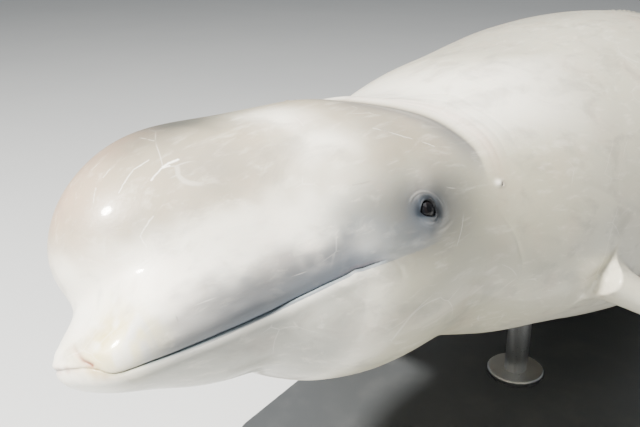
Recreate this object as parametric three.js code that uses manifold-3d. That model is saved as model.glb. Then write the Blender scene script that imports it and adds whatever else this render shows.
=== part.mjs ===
// Adult beluga whale, Delphinapterus leucas, life size, held by a display stand.
// Millimetres, +Z up. The whale faces -X and its right side is toward +Y.
// It is shaped along a straight axis first: x runs back from the tip of the upper jaw, y to the
// right, z up. Then it is bent at the neck and the tail, banked and lifted onto the stand.
import * as THREE from 'three';
import { mergeVertices } from 'three/addons/utils/BufferGeometryUtils.js';
import Module from 'manifold-3d';

const wasm = await Module();
wasm.setup();

const GAP = 0.3;
const DEG = Math.PI / 180;

// Pose: how the body turns away behind the neck, and how the whole whale lies on its stand.
const NECK_START = 440;
const NECK_END = 950;
const NECK_YAW = 7.7;
const NECK_PITCH = -4.9;
const NECK_TWIST = 13;
const LOIN_START = 1100;
const LOIN_END = 2300;
const LOIN_ARCH = 7;
const TAIL_START = 2500;
const TAIL_END = 3600;
const TAIL_ARCH = 5;
const NOSE_UP = 11;
const BANK = 11;

// Blobs of the head. p is the pitch in degrees, n and m are superellipsoid powers. The soft melon
// sags a little to the right and the jaws reach a little to the left.
const HEAD_Z = -20;
const MELON_FRONT = {
  x: 185.5, y: 27.5, z: 108.7, rx: 141.7, ry: 93.6, rz: 108.1, p: 8.5, roll: 3.4, n: 2, m: 1.92,
};
const MELON_BACK = { x: 297.3, z: 89.9, rx: 180.1, ry: 128.4, rz: 113.1, p: 0, n: 2, m: 2 };
const UPPER_JAW = { x: 158.5, z: 4.3, rx: 158.5, ry: 90.8, rz: 59.9, p: 4.8, n: 2.48, m: 2.05 };
const LOWER_JAW = { x: 242.8, z: 10.7, rx: 195, ry: 105.4, rz: 107.2, p: -2.1, n: 2.5, m: 2 };
const CRANIUM = { x: 446.2, z: 21.2, rx: 260, ry: 200, rz: 183.6, p: 0, n: 2, m: 2 };
const JAW_SHIFT = { y: -6.5, end: 320 };
const BLEND_HEAD = 30;
const BLEND_JAWS = 14;
const BLEND_CREASE = 10;

// Trunk stations: x, height of the back, height of the belly, half width.
const TRUNK = [
  [300, 120, -125, 135], [400, 146, -158, 172], [500, 145, -175, 183], [620, 187, -212, 215],
  [750, 228, -250, 251], [900, 259, -276, 281], [1100, 302, -312, 322], [1400, 351, -356, 373],
  [1700, 357, -357, 377], [2000, 345, -340, 358], [2300, 318, -310, 318], [2600, 280, -272, 262],
  [2900, 236, -226, 192], [3200, 188, -176, 128], [3500, 142, -130, 82], [3750, 98, -88, 55],
  [4000, 30, -26, 30],
];
const TRUNK_POWER = 2.2;
const TRUNK_FADE = { x: 330, reach: 90 };
const RIDGE = { start: 1750, end: 2700, height: 26, width: 17 };

// Face.
const GAPE = { x: 323, z: -25.5 };
const LIP = { z: -39.5, beak: 16.5, beakReach: 12, bendStart: 195, bendEnd: 300 };
const LIP_DEPTH = 4.5;
const LIP_HALF_OPENING = 2.6;
const EYE = { x: 404, z: 15, r: 15, sink: 11.5 };
const LID_THICKNESS = 2.4;
const EYE_OPENING = { width: 27, height: 18 };
const BLOWHOLE = { x: 432, width: 56, sweep: 15, opening: 6, depth: 11 };
const EAR = { x: 578, z: 16, r: 3, depth: 6 };

// Fins.
const FLIPPER = { x: 940, y: 262, z: -190, sweep: 55, droop: 27, pitch: -8, curl: 26 };
const FLIPPER_STATIONS = [
  [-75, 140, 56, 0], [-20, 142, 54, 0], [30, 148, 50, 0], [90, 172, 46, 4], [160, 216, 40, 10],
  [230, 252, 34, 12], [300, 266, 27, 8], [360, 250, 21, 0], [405, 208, 17, -8], [435, 150, 14, -16],
  [452, 86, 11, -24], [461, 12, 7, -28],
];
const FLUKE_STATIONS = [
  [-18, 3640, 4000, 58], [0, 3640, 4000, 58], [24, 3643, 4020, 57], [46, 3652, 4036, 53],
  [66, 3672, 4048, 49], [90, 3700, 4059, 45], [130, 3732, 4074, 40], [180, 3764, 4085, 35],
  [240, 3801, 4087, 29], [300, 3840, 4078, 24], [355, 3880, 4061, 19], [400, 3916, 4042, 16],
  [440, 3952, 4023, 13], [470, 3981, 4009, 10], [484, 3995, 4003, 7],
];
const FLUKE_CURL = 16;
const FIN_POWER = 1.8;

// Stand.
const BASE = { length: 2200, width: 860, height: 25, corner: 60 };
const CLEARANCE = 80;
const ROD_RADIUS = 28;
const FLANGE = { radius: 70, height: 12 };
const ROD_FRONT_X = 1260;
const ROD_REAR_X = 2240;
const BASE_X = 1760;

// Rings of the template, and where the body is divided.
const FAN_ORIGIN = new THREE.Vector3(240, 0, -15);
const FAN = [3, 6, 9, 12, 15.5, 19.5, 24, 28.5, 33, 38, 43, 48.5, 54.5, 61, 68, 75, 82.5, 90];
const HEAD_RINGS = [266, 292, 318, 344, 370, 396, 424, 452, 480, 510, 550, 600];
const HEAD_ANGLES = [
  0, 6, 13, 20, 27, 34, 41, 48, 55, 62, 68, 73, 78, 83, 88, 93, 98, 103, 108, 114, 121, 129, 137,
  145, 153, 162, 171, 180,
];
const BODY_ANGLES = [
  0, 2.5, 5.5, 10, 17, 26, 36, 47, 58, 69, 80, 91, 102, 113, 124, 135, 146, 158, 169, 180,
];
const SEGMENTS = {
  neck: [600, 650, 700, 760, 820],
  torso_chest: [820, 890, 960, 1030, 1100, 1180, 1260, 1350],
  torso_belly: [1350, 1450, 1560, 1670, 1780, 1890, 2000],
  torso_loin: [2000, 2100, 2200, 2300, 2400, 2500, 2600],
  tail_stock: [2600, 2700, 2800, 2900, 3000, 3100, 3200, 3300, 3400, 3500, 3600],
};
const TAIL_TIP = [3600, 3680, 3760, 3820, 3880, 3930, 3970];

function smoothstep(t) {
  const c = Math.min(Math.max(t, 0), 1);
  return c * c * (3 - 2 * c);
}

// Natural cubic spline through the stations, for one of their columns.
function spline(stations, column) {
  const n = stations.length;
  const xs = stations.map((s) => s[0]);
  const ys = stations.map((s) => s[column]);
  const upper = new Array(n).fill(0);
  const right = new Array(n).fill(0);
  for (let i = 1; i < n - 1; i += 1) {
    const h0 = xs[i] - xs[i - 1];
    const h1 = xs[i + 1] - xs[i];
    const slope = (ys[i + 1] - ys[i]) / h1 - (ys[i] - ys[i - 1]) / h0;
    const pivot = 2 * (h0 + h1) - h0 * upper[i - 1];
    upper[i] = h1 / pivot;
    right[i] = (6 * slope - h0 * right[i - 1]) / pivot;
  }
  const m = new Array(n).fill(0);
  for (let i = n - 2; i > 0; i -= 1) {
    m[i] = right[i] - upper[i] * m[i + 1];
  }
  return (value) => {
    const x = Math.min(Math.max(value, xs[0]), xs[n - 1]);
    let i = 0;
    while (i < n - 2 && x > xs[i + 1]) {
      i += 1;
    }
    const h = xs[i + 1] - xs[i];
    const u = xs[i + 1] - x;
    const v = x - xs[i];
    const curve = (m[i] * u ** 3 + m[i + 1] * v ** 3) / (6 * h);
    return curve + (ys[i] / h - (m[i] * h) / 6) * u + (ys[i + 1] / h - (m[i + 1] * h) / 6) * v;
  };
}

const backHeight = spline(TRUNK, 1);
const bellyHeight = spline(TRUNK, 2);
const halfWidth = spline(TRUNK, 3);

function blob(e, x, y, z) {
  const c = Math.cos(e.p * DEG);
  const s = Math.sin(e.p * DEG);
  const cr = Math.cos((e.roll || 0) * DEG);
  const sr = Math.sin((e.roll || 0) * DEG);
  const px = x - e.x;
  const side = y - (e.y || 0);
  const ay = side * cr + (z - e.z) * sr;
  const pz = (z - e.z) * cr - side * sr;
  const ax = px * c + pz * s;
  const az = pz * c - px * s;
  const flat = Math.abs(ax / e.rx) ** e.n + Math.abs(ay / e.ry) ** e.n;
  const rho = (flat ** (e.m / e.n) + Math.abs(az / e.rz) ** e.m) ** (1 / e.m) + 1e-9;
  return Math.hypot(ax, ay, az) * (1 - 1 / rho);
}

function ridgeHeight(x) {
  const t = (x - RIDGE.start) / (RIDGE.end - RIDGE.start);
  return t <= 0 || t >= 1 ? 0 : RIDGE.height * Math.sin(Math.PI * t) ** 0.8;
}

function trunk(x, y, z) {
  const top = backHeight(x);
  const bottom = bellyHeight(x);
  const pz = z - (top + bottom) / 2;
  const side = Math.abs(y / halfWidth(x)) ** TRUNK_POWER;
  const up = Math.abs((2 * pz) / (top - bottom)) ** TRUNK_POWER;
  const rho = (side + up) ** (1 / TRUNK_POWER) + 1e-9;
  const ridge = pz > 0 ? ridgeHeight(x) * Math.exp(-((y / RIDGE.width) ** 2)) : 0;
  const fade = Math.max(0, TRUNK_FADE.x - x) ** 2 / TRUNK_FADE.reach;
  return Math.hypot(y, pz) * (1 - 1 / rho) + fade - ridge;
}

function blend(values, k) {
  const low = Math.min(...values);
  const sum = values.reduce((total, v) => total + Math.exp(-(v - low) / k), 0);
  return low - k * Math.log(sum);
}

// Negative inside the whale's head and trunk.
function field(x, y, z) {
  if (x > 1100) {
    return trunk(x, y, z);
  }
  const q = z - HEAD_Z;
  const v = y - JAW_SHIFT.y * (1 - smoothstep(x / JAW_SHIFT.end));
  const jaws = blend([blob(UPPER_JAW, x, v, q), blob(LOWER_JAW, x, v, q)], BLEND_JAWS);
  const skull = [blob(MELON_FRONT, x, y, q), blob(MELON_BACK, x, y, q), blob(CRANIUM, x, y, q)];
  return blend([blend([...skull, trunk(x, y, z)], BLEND_HEAD), jaws], BLEND_CREASE);
}

// First crossing of the surface on a ray that starts inside.
function cast(origin, direction) {
  const value = (r) => field(
    origin.x + direction.x * r,
    origin.y + direction.y * r,
    origin.z + direction.z * r,
  );
  let low = 0;
  let high = 6;
  while (value(high) < 0 && high < 900) {
    low = high;
    high += 8;
  }
  for (let i = 0; i < 22; i += 1) {
    const middle = (low + high) / 2;
    if (value(middle) < 0) {
      low = middle;
    } else {
      high = middle;
    }
  }
  return (low + high) / 2;
}

function sidePoint(x, z, side) {
  const r = cast(new THREE.Vector3(x, 0, z), new THREE.Vector3(0, side, 0));
  return new THREE.Vector3(x, side * r, z);
}

function surfaceNormal(p) {
  const e = 1;
  const dx = field(p.x + e, p.y, p.z) - field(p.x - e, p.y, p.z);
  const dy = field(p.x, p.y + e, p.z) - field(p.x, p.y - e, p.z);
  const dz = field(p.x, p.y, p.z + e) - field(p.x, p.y, p.z - e);
  return new THREE.Vector3(dx, dy, dz).normalize();
}

function fullTurn(angles) {
  const mirrored = angles.slice(1, -1).reverse().map((a) => 360 - a);
  return [...angles, ...mirrored];
}

function ringAt(x, angles, grow) {
  const toTrunk = Math.min((x - FAN_ORIGIN.x) / 210, 1);
  const centre = (backHeight(x) + bellyHeight(x)) / 2;
  const z = FAN_ORIGIN.z * (1 - toTrunk) + centre * toTrunk;
  const origin = new THREE.Vector3(x, 0, z);
  return fullTurn(angles).map((a) => {
    const direction = new THREE.Vector3(0, Math.sin(a * DEG), Math.cos(a * DEG));
    return origin.clone().addScaledVector(direction, cast(origin, direction) + grow);
  });
}

function fanRing(polar, angles) {
  return fullTurn(angles).map((a) => {
    const out = Math.sin(polar * DEG);
    const direction = new THREE.Vector3(
      -Math.cos(polar * DEG),
      out * Math.sin(a * DEG),
      out * Math.cos(a * DEG),
    );
    return FAN_ORIGIN.clone().addScaledVector(direction, cast(FAN_ORIGIN, direction));
  });
}

// A closed solid through rings of equal count, with a point or a flat cap at each end.
function loft(rings, startPoint, endPoint) {
  const count = rings[0].length;
  const points = rings.flat();
  const faces = [];
  for (let i = 0; i < rings.length - 1; i += 1) {
    for (let j = 0; j < count; j += 1) {
      const a = i * count + j;
      const b = i * count + ((j + 1) % count);
      faces.push([a, b, b + count], [a, b + count, a + count]);
    }
  }
  const centroid = (ring) => {
    const sum = ring.reduce((total, p) => total.add(p), new THREE.Vector3());
    return sum.multiplyScalar(1 / count);
  };
  const first = points.length;
  points.push(startPoint || centroid(rings[0]));
  points.push(endPoint || centroid(rings[rings.length - 1]));
  const last = (rings.length - 1) * count;
  for (let j = 0; j < count; j += 1) {
    const next = (j + 1) % count;
    faces.push([first, next, j], [first + 1, last + j, last + next]);
  }
  return solidFrom(points, faces);
}

function solidFrom(points, faces) {
  const volume = faces.reduce((total, [a, b, c]) => {
    const cross = points[b].clone().cross(points[c]);
    return total + points[a].dot(cross);
  }, 0);
  const vertProperties = new Float32Array(points.flatMap((p) => [p.x, p.y, p.z]));
  const wound = volume > 0 ? faces : faces.map(([a, b, c]) => [a, c, b]);
  const triVerts = new Uint32Array(wound.flat());
  return new wasm.Manifold(new wasm.Mesh({ numProp: 3, vertProperties, triVerts }));
}

function solidOf(geometry) {
  const bare = geometry.clone();
  bare.deleteAttribute('normal');
  bare.deleteAttribute('uv');
  const merged = mergeVertices(bare, 1e-3);
  const position = merged.getAttribute('position');
  const vertProperties = new Float32Array(position.array);
  const triVerts = new Uint32Array(merged.index.array);
  return new wasm.Manifold(new wasm.Mesh({ numProp: 3, vertProperties, triVerts }));
}

function largest(solid) {
  const pieces = solid.decompose();
  return pieces.reduce((best, piece) => (piece.volume() > best.volume() ? piece : best));
}

// A prism from an outline in x and z, between two values of y.
function prismAcross(outline, y0, y1) {
  const shape = new THREE.Shape(outline.map(([x, z]) => new THREE.Vector2(x, z)));
  const geometry = new THREE.ExtrudeGeometry(shape, { depth: y1 - y0, bevelEnabled: false });
  geometry.rotateX(Math.PI / 2);
  geometry.translate(0, y1, 0);
  return solidOf(geometry);
}

function prismUp(outline, z0, z1) {
  const shape = new THREE.Shape(outline.map(([x, y]) => new THREE.Vector2(x, y)));
  const geometry = new THREE.ExtrudeGeometry(shape, { depth: z1 - z0, bevelEnabled: false });
  geometry.translate(0, 0, z0);
  return solidOf(geometry);
}

// Height of the closed mouth's line at x.
function mouthZ(x) {
  const beak = LIP.beak * Math.exp(-((Math.max(x, 0) / LIP.beakReach) ** 2));
  const rise = smoothstep((x - LIP.bendStart) / (LIP.bendEnd - LIP.bendStart));
  return LIP.z + beak + (GAPE.z - LIP.z) * rise;
}

const MOUTH_STEPS = 26;
const LIP_STEPS = 20;
const LIP_SWING = 130;
const LIP_CENTRE_X = 178;
const mouthLine = Array.from({ length: MOUTH_STEPS + 1 }, (_, i) => {
  const x = -20 + ((GAPE.x + 20) * i) / MOUTH_STEPS;
  return [x, mouthZ(x)];
});

function jawOutline(grow) {
  const upper = mouthLine.map(([x, z]) => [x, z + grow]);
  upper[MOUTH_STEPS][0] += grow;
  const behind = [[341, -78], [367, -142], [383, -300]].map(([x, z]) => [x + grow, z]);
  return [...upper, ...behind, [-20, -300]];
}

// The parting of the lips: a wedge that follows the mouth's line from one corner to the other.
function lipWedge() {
  const rings = [];
  for (let i = -LIP_STEPS; i <= LIP_STEPS; i += 1) {
    const angle = (LIP_SWING * i * DEG) / LIP_STEPS;
    const direction = new THREE.Vector3(-Math.cos(angle), Math.sin(angle), 0);
    const origin = new THREE.Vector3(LIP_CENTRE_X, 0, LIP.z);
    const onLine = new THREE.Vector3();
    for (let pass = 0; pass < 4; pass += 1) {
      onLine.copy(origin).addScaledVector(direction, cast(origin, direction));
      origin.z = mouthZ(onLine.x);
    }
    const normal = surfaceNormal(onLine).setZ(0).normalize();
    const fade = smoothstep((1 - Math.abs(i) / LIP_STEPS) * 5);
    const open = (LIP_HALF_OPENING * (0.2 + 0.8 * fade) * (LIP_DEPTH + 4)) / LIP_DEPTH;
    const outside = onLine.clone().addScaledVector(normal, 4);
    rings.push([
      onLine.clone().addScaledVector(normal, -LIP_DEPTH * (0.3 + 0.7 * fade)),
      outside.clone().setZ(outside.z - open),
      outside.clone().setZ(outside.z + open),
    ]);
  }
  return loft(rings, null, null);
}

function headSolid() {
  const pole = new THREE.Vector3(-1, 0, 0);
  const tip = FAN_ORIGIN.clone().addScaledVector(pole, cast(FAN_ORIGIN, pole));
  const xs = HEAD_RINGS.slice();
  xs[xs.length - 1] -= GAP / 2;
  const fan = FAN.map((polar) => fanRing(polar, HEAD_ANGLES));
  const rings = xs.map((x) => ringAt(x, HEAD_ANGLES, 0));
  return loft([...fan, ...rings], tip, null);
}

function segmentSolid(stations, grow) {
  const xs = stations.slice();
  xs[0] += GAP / 2;
  xs[xs.length - 1] -= GAP / 2;
  return loft(xs.map((x) => ringAt(x, BODY_ANGLES, grow)), null, null);
}

function quaternionTo(normal) {
  return new THREE.Quaternion().setFromUnitVectors(new THREE.Vector3(0, 0, 1), normal);
}

function placed(geometry, normal, centre) {
  geometry.applyQuaternion(quaternionTo(normal));
  geometry.translate(centre.x, centre.y, centre.z);
  return geometry;
}

function eyeFrame(side) {
  const surface = sidePoint(EYE.x, EYE.z, side);
  const normal = surfaceNormal(surface);
  return { normal, centre: surface.clone().addScaledVector(normal, -EYE.sink) };
}

function ball(radius, centre) {
  const geometry = new THREE.IcosahedronGeometry(radius, 3);
  geometry.translate(centre.x, centre.y, centre.z);
  return geometry;
}

// Lids: a thin bulge over the eyeball, open in an almond.
function lidSolid(eye) {
  const geometry = new THREE.SphereGeometry(1, 20, 12);
  const r = EYE.r + LID_THICKNESS;
  geometry.rotateX(Math.PI / 2);
  geometry.scale(r + 4, r + 3, r);
  return solidOf(placed(geometry, eye.normal, eye.centre));
}

function openingSolid(eye) {
  const outline = [];
  const steps = 20;
  for (let i = 0; i < steps; i += 1) {
    const t = (2 * Math.PI * i) / steps;
    const thin = 1 - 0.25 * Math.abs(Math.cos(t)) ** 3;
    const x = (EYE_OPENING.width / 2) * Math.cos(t);
    outline.push(new THREE.Vector2(x, (EYE_OPENING.height / 2) * Math.sin(t) * thin));
  }
  const shape = new THREE.Shape(outline);
  const geometry = new THREE.ExtrudeGeometry(shape, { depth: 40, bevelEnabled: false });
  const along = new THREE.Vector3(1, 0, 0).projectOnPlane(eye.normal).normalize();
  const across = eye.normal.clone().cross(along);
  geometry.applyMatrix4(new THREE.Matrix4().makeBasis(along, across, eye.normal));
  geometry.translate(eye.centre.x, eye.centre.y, eye.centre.z);
  return solidOf(geometry);
}

function earSolid(side) {
  const surface = sidePoint(EAR.x, EAR.z, side);
  const geometry = new THREE.CylinderGeometry(EAR.r, EAR.r * 0.5, EAR.depth * 2, 10);
  geometry.rotateX(Math.PI / 2);
  return solidOf(placed(geometry, surfaceNormal(surface), surface));
}

// Crescent nostril on top of the head, its horns pointing forward.
function blowholeSolid() {
  const front = [];
  const back = [];
  const steps = 12;
  for (let i = 0; i <= steps; i += 1) {
    const t = -1 + (2 * i) / steps;
    const x = BLOWHOLE.x - BLOWHOLE.sweep * t * t;
    const half = 0.5 + (BLOWHOLE.opening / 2) * Math.sqrt(Math.max(0, 1 - t * t));
    front.push([x - half, (BLOWHOLE.width / 2) * t]);
    back.push([x + half, (BLOWHOLE.width / 2) * t]);
  }
  const top = cast(new THREE.Vector3(BLOWHOLE.x, 0, 0), new THREE.Vector3(0, 0, 1));
  return prismUp([...back, ...front.reverse()], top - BLOWHOLE.depth, top + 60);
}

// A rounded foil section: chord from leading to trailing edge, thickest ahead of the middle.
function foilRing(leading, chord, direction, up, thickness, steps) {
  const ring = [];
  for (let i = 0; i < steps; i += 1) {
    const t = (2 * Math.PI * i) / steps;
    const u = -Math.sign(Math.cos(t)) * Math.abs(Math.cos(t)) ** (2 / FIN_POWER);
    const v = Math.sign(Math.sin(t)) * Math.abs(Math.sin(t)) ** (2 / FIN_POWER);
    const p = leading.clone().addScaledVector(direction, (chord * (1 + u)) / 2);
    ring.push(p.addScaledVector(up, (thickness / 2) * v * (1.12 - 0.28 * u)));
  }
  return ring;
}

function flipperSolid(side) {
  const droop = FLIPPER.droop * DEG;
  const sweep = FLIPPER.sweep * DEG;
  const span = new THREE.Vector3(
    Math.sin(sweep) * Math.cos(droop),
    side * Math.cos(sweep) * Math.cos(droop),
    -Math.sin(droop),
  );
  const up = new THREE.Vector3(0, 0, 1).projectOnPlane(span).normalize();
  const chordwise = span.clone().cross(up).multiplyScalar(side).normalize();
  if (chordwise.x < 0) {
    chordwise.negate();
  }
  const turn = new THREE.Quaternion().setFromAxisAngle(span, side * FLIPPER.pitch * DEG);
  up.applyQuaternion(turn);
  chordwise.applyQuaternion(turn);
  const root = new THREE.Vector3(FLIPPER.x, side * FLIPPER.y, FLIPPER.z);
  const tip = FLIPPER_STATIONS[FLIPPER_STATIONS.length - 1][0];
  const rings = FLIPPER_STATIONS.map(([s, chord, thickness, shift]) => {
    const lift = FLIPPER.curl * (Math.max(s, 0) / tip) ** 2;
    const centre = root.clone().addScaledVector(span, s).addScaledVector(up, lift);
    const leading = centre.addScaledVector(chordwise, shift - chord / 2);
    return foilRing(leading, chord, chordwise, up, thickness, 16);
  });
  return loft(rings, null, null);
}

function flukeSolid(side) {
  const back = new THREE.Vector3(1, 0, 0);
  const up = new THREE.Vector3(0, 0, 1);
  const tip = FLUKE_STATIONS[FLUKE_STATIONS.length - 1][0];
  const rings = FLUKE_STATIONS.map(([s, lead, trail, thickness]) => {
    const z = 3 + FLUKE_CURL * (Math.max(s, 0) / tip) ** 2;
    const leading = new THREE.Vector3(lead, side * s, z);
    return foilRing(leading, trail - lead, back, up, thickness, 18);
  });
  return loft(rings, null, null);
}

// The spine: at each x its place and its frame, with the head left where it is.
const SPINE_STEP = 10;
const spine = [];

function spineFrame(x) {
  const bend = smoothstep((x - NECK_START) / (NECK_END - NECK_START));
  const yaw = NECK_YAW * DEG * bend;
  const pitch = NECK_PITCH * DEG * bend;
  const roll = NECK_TWIST * DEG * bend;
  const loin = LOIN_ARCH * smoothstep((x - LOIN_START) / (LOIN_END - LOIN_START));
  const tail = TAIL_ARCH * smoothstep((x - TAIL_START) / (TAIL_END - TAIL_START));
  const arch = (loin + tail) * DEG;
  const cy = Math.cos(yaw);
  const sy = Math.sin(yaw);
  const back = new THREE.Vector3(cy * Math.cos(pitch), sy * Math.cos(pitch), Math.sin(pitch));
  const level = new THREE.Vector3(-sy, cy, 0);
  const lift = back.clone().cross(level);
  const right = level.clone().multiplyScalar(Math.cos(roll)).addScaledVector(lift, Math.sin(roll));
  const up = lift.clone().multiplyScalar(Math.cos(roll)).addScaledVector(level, -Math.sin(roll));
  const turned = back.clone().multiplyScalar(Math.cos(arch)).addScaledVector(up, Math.sin(arch));
  const raised = up.clone().multiplyScalar(Math.cos(arch)).addScaledVector(back, -Math.sin(arch));
  return { back: turned, right, up: raised };
}

for (let x = 0; x <= 4400; x += SPINE_STEP) {
  const before = spine[spine.length - 1];
  const place = new THREE.Vector3(0, 0, 0);
  if (before) {
    const middle = spineFrame(x - SPINE_STEP / 2);
    place.copy(before).addScaledVector(middle.back, SPINE_STEP);
  }
  spine.push(place);
}

// From the head's frame to the room: the trunk lies nose up and banked, left side high.
const trunkFrame = spineFrame(NECK_END);
const trunkBasis = new THREE.Matrix4().makeBasis(trunkFrame.back, trunkFrame.right, trunkFrame.up);
const noseUp = NOSE_UP * DEG;
const bank = BANK * DEG;
const roomBack = new THREE.Vector3(Math.cos(noseUp), 0, -Math.sin(noseUp));
const roomLift = new THREE.Vector3(Math.sin(noseUp), 0, Math.cos(noseUp));
const roomRight = new THREE.Vector3(0, Math.cos(bank), 0).addScaledVector(roomLift, -Math.sin(bank));
const roomUp = new THREE.Vector3(0, Math.sin(bank), 0).addScaledVector(roomLift, Math.cos(bank));
const room = new THREE.Matrix4().makeBasis(roomBack, roomRight, roomUp);
room.multiply(trunkBasis.clone().invert());

function posed(p) {
  const bounded = Math.min(Math.max(p.x, 0), 4390);
  const i = Math.floor(bounded / SPINE_STEP);
  const t = bounded / SPINE_STEP - i;
  const frame = spineFrame(bounded);
  const q = spine[i].clone().lerp(spine[i + 1], t);
  q.addScaledVector(frame.back, p.x - bounded);
  q.addScaledVector(frame.right, p.y);
  q.addScaledVector(frame.up, p.z);
  return q.applyMatrix4(room);
}

function geometryOf(solid) {
  const mesh = solid.getMesh();
  const geometry = new THREE.BufferGeometry();
  geometry.setAttribute('position', new THREE.Float32BufferAttribute(mesh.vertProperties, 3));
  geometry.setIndex(Array.from(mesh.triVerts));
  return geometry;
}

// The same solid with each of its corners moved.
function moved(solid, map) {
  const mesh = solid.getMesh();
  const vertProperties = new Float32Array(mesh.vertProperties.length);
  for (let i = 0; i < vertProperties.length; i += 3) {
    const q = map(new THREE.Vector3(...mesh.vertProperties.slice(i, i + 3)));
    vertProperties.set([q.x, q.y, q.z], i);
  }
  return new wasm.Manifold(new wasm.Mesh({ numProp: 3, vertProperties, triVerts: mesh.triVerts }));
}

// Head with its lids, eye sockets, lips, nostril and ear openings, and the lower jaw.
const eyes = { left: eyeFrame(-1), right: eyeFrame(1) };
let head = headSolid();
head = head.subtract(lipWedge());
head = head.subtract(blowholeSolid());
for (const eye of [eyes.left, eyes.right]) {
  head = head.add(lidSolid(eye));
  head = head.subtract(solidOf(ball(EYE.r + GAP + 0.2, eye.centre)));
  head = head.subtract(openingSolid(eye));
}
head = head.subtract(earSolid(-1)).subtract(earSolid(1));
const jaw = largest(head.intersect(prismAcross(jawOutline(0), -300, 300)));
head = largest(head.subtract(prismAcross(jawOutline(GAP), -300, 300)));

// Flippers end at the trunk's surface. The flukes share the end of the tail stock.
const nearFlippers = [...SEGMENTS.neck, ...SEGMENTS.torso_chest.slice(1)];
const grownChest = moved(segmentSolid(nearFlippers, GAP), posed);
const flippers = {
  left: largest(moved(flipperSolid(-1), posed).subtract(grownChest)),
  right: largest(moved(flipperSolid(1), posed).subtract(grownChest)),
};
const tailTip = segmentSolid(TAIL_TIP, 0);
const bothFlukes = flukeSolid(-1).add(flukeSolid(1)).add(tailTip);
const tailRoom = [[3500, -300], [4500, -300], [4500, 300], [3500, 300]];
const flukes = {
  left: largest(bothFlukes.intersect(prismAcross(tailRoom, -900, -GAP / 2))),
  right: largest(bothFlukes.intersect(prismAcross(tailRoom, GAP / 2, 900))),
};

const whale = {
  head: moved(head, posed),
  lower_jaw: moved(jaw, posed),
  eye_left: moved(solidOf(ball(EYE.r, eyes.left.centre)), posed),
  eye_right: moved(solidOf(ball(EYE.r, eyes.right.centre)), posed),
  flipper_left: flippers.left,
  flipper_right: flippers.right,
  fluke_left: moved(flukes.left, posed),
  fluke_right: moved(flukes.right, posed),
};
for (const [name, stations] of Object.entries(SEGMENTS)) {
  whale[name] = moved(segmentSolid(stations, 0), posed);
}

// Height on the stand: the lowest point of the whale clears the base.
const lowest = Math.min(...Object.values(whale).map((solid) => solid.boundingBox().min[2]));
const middle = posed(new THREE.Vector3(BASE_X, 0, 0));
const offset = new THREE.Vector3(-middle.x, -middle.y, BASE.height + CLEARANCE - lowest);

function baseGeometry() {
  const x = BASE.length / 2;
  const y = BASE.width / 2;
  const r = BASE.corner;
  const bevel = 3;
  const shape = new THREE.Shape();
  shape.moveTo(-x + r, -y);
  shape.lineTo(x - r, -y);
  shape.absarc(x - r, -y + r, r, -Math.PI / 2, 0, false);
  shape.lineTo(x, y - r);
  shape.absarc(x - r, y - r, r, 0, Math.PI / 2, false);
  shape.lineTo(-x + r, y);
  shape.absarc(-x + r, y - r, r, Math.PI / 2, Math.PI, false);
  shape.lineTo(-x, -y + r);
  shape.absarc(-x + r, -y + r, r, Math.PI, 1.5 * Math.PI, false);
  const geometry = new THREE.ExtrudeGeometry(shape, {
    depth: BASE.height - 2 * bevel,
    bevelEnabled: true,
    bevelThickness: bevel,
    bevelSize: bevel,
    bevelOffset: -bevel,
    bevelSegments: 1,
    curveSegments: 6,
  });
  geometry.translate(0, 0, bevel);
  return geometry;
}

function rodSolid(stationX, grownBody) {
  const foot = posed(new THREE.Vector3(stationX, 0, 0)).add(offset);
  const bottom = BASE.height + GAP;
  const profile = [
    [0, bottom], [FLANGE.radius, bottom], [FLANGE.radius, bottom + FLANGE.height - 3],
    [FLANGE.radius - 3, bottom + FLANGE.height], [ROD_RADIUS, bottom + FLANGE.height],
    [ROD_RADIUS, foot.z], [0, foot.z],
  ];
  const geometry = new THREE.LatheGeometry(profile.map(([r, z]) => new THREE.Vector2(r, z)), 28);
  geometry.rotateX(Math.PI / 2);
  geometry.translate(foot.x, foot.y, 0);
  return largest(solidOf(geometry).subtract(grownBody));
}

const trunkStations = [...SEGMENTS.torso_chest, ...SEGMENTS.torso_belly.slice(1),
  ...SEGMENTS.torso_loin.slice(1)];
const grownTrunk = moved(segmentSolid(trunkStations, GAP), (p) => posed(p).add(offset));

const skin = { color: 0xe6e0d4, roughness: 0.32, metalness: 0 };
const eyeLook = { color: 0x14161a, roughness: 0.08, metalness: 0 };
const steel = { color: 0x9a9d9f, roughness: 0.35, metalness: 1 };
const paint = { color: 0x3c4043, roughness: 0.6, metalness: 0 };

const group = new THREE.Group();

function addMesh(name, geometry, look) {
  const mesh = new THREE.Mesh(geometry, new THREE.MeshStandardMaterial(look));
  mesh.name = name;
  group.add(mesh);
  return mesh;
}

for (const [name, solid] of Object.entries(whale)) {
  const mesh = addMesh(name, geometryOf(solid), name.startsWith('eye_') ? eyeLook : skin);
  mesh.position.copy(offset);
}
addMesh('stand_rod_front', geometryOf(rodSolid(ROD_FRONT_X, grownTrunk)), steel);
addMesh('stand_rod_rear', geometryOf(rodSolid(ROD_REAR_X, grownTrunk)), steel);
addMesh('stand_base', baseGeometry(), paint);

export default group;
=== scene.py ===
# Adult beluga whale on a display stand, life size, +Z up, facing -X, right side toward +Y.
# The body is shaped in millimetres along a straight axis (x back from the tip of the upper jaw,
# y to the right, z up), then bent, banked, lifted onto the stand and scaled to metres.
import math

import bmesh
import bpy
import numpy as np
from mathutils import Matrix, Vector


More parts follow.
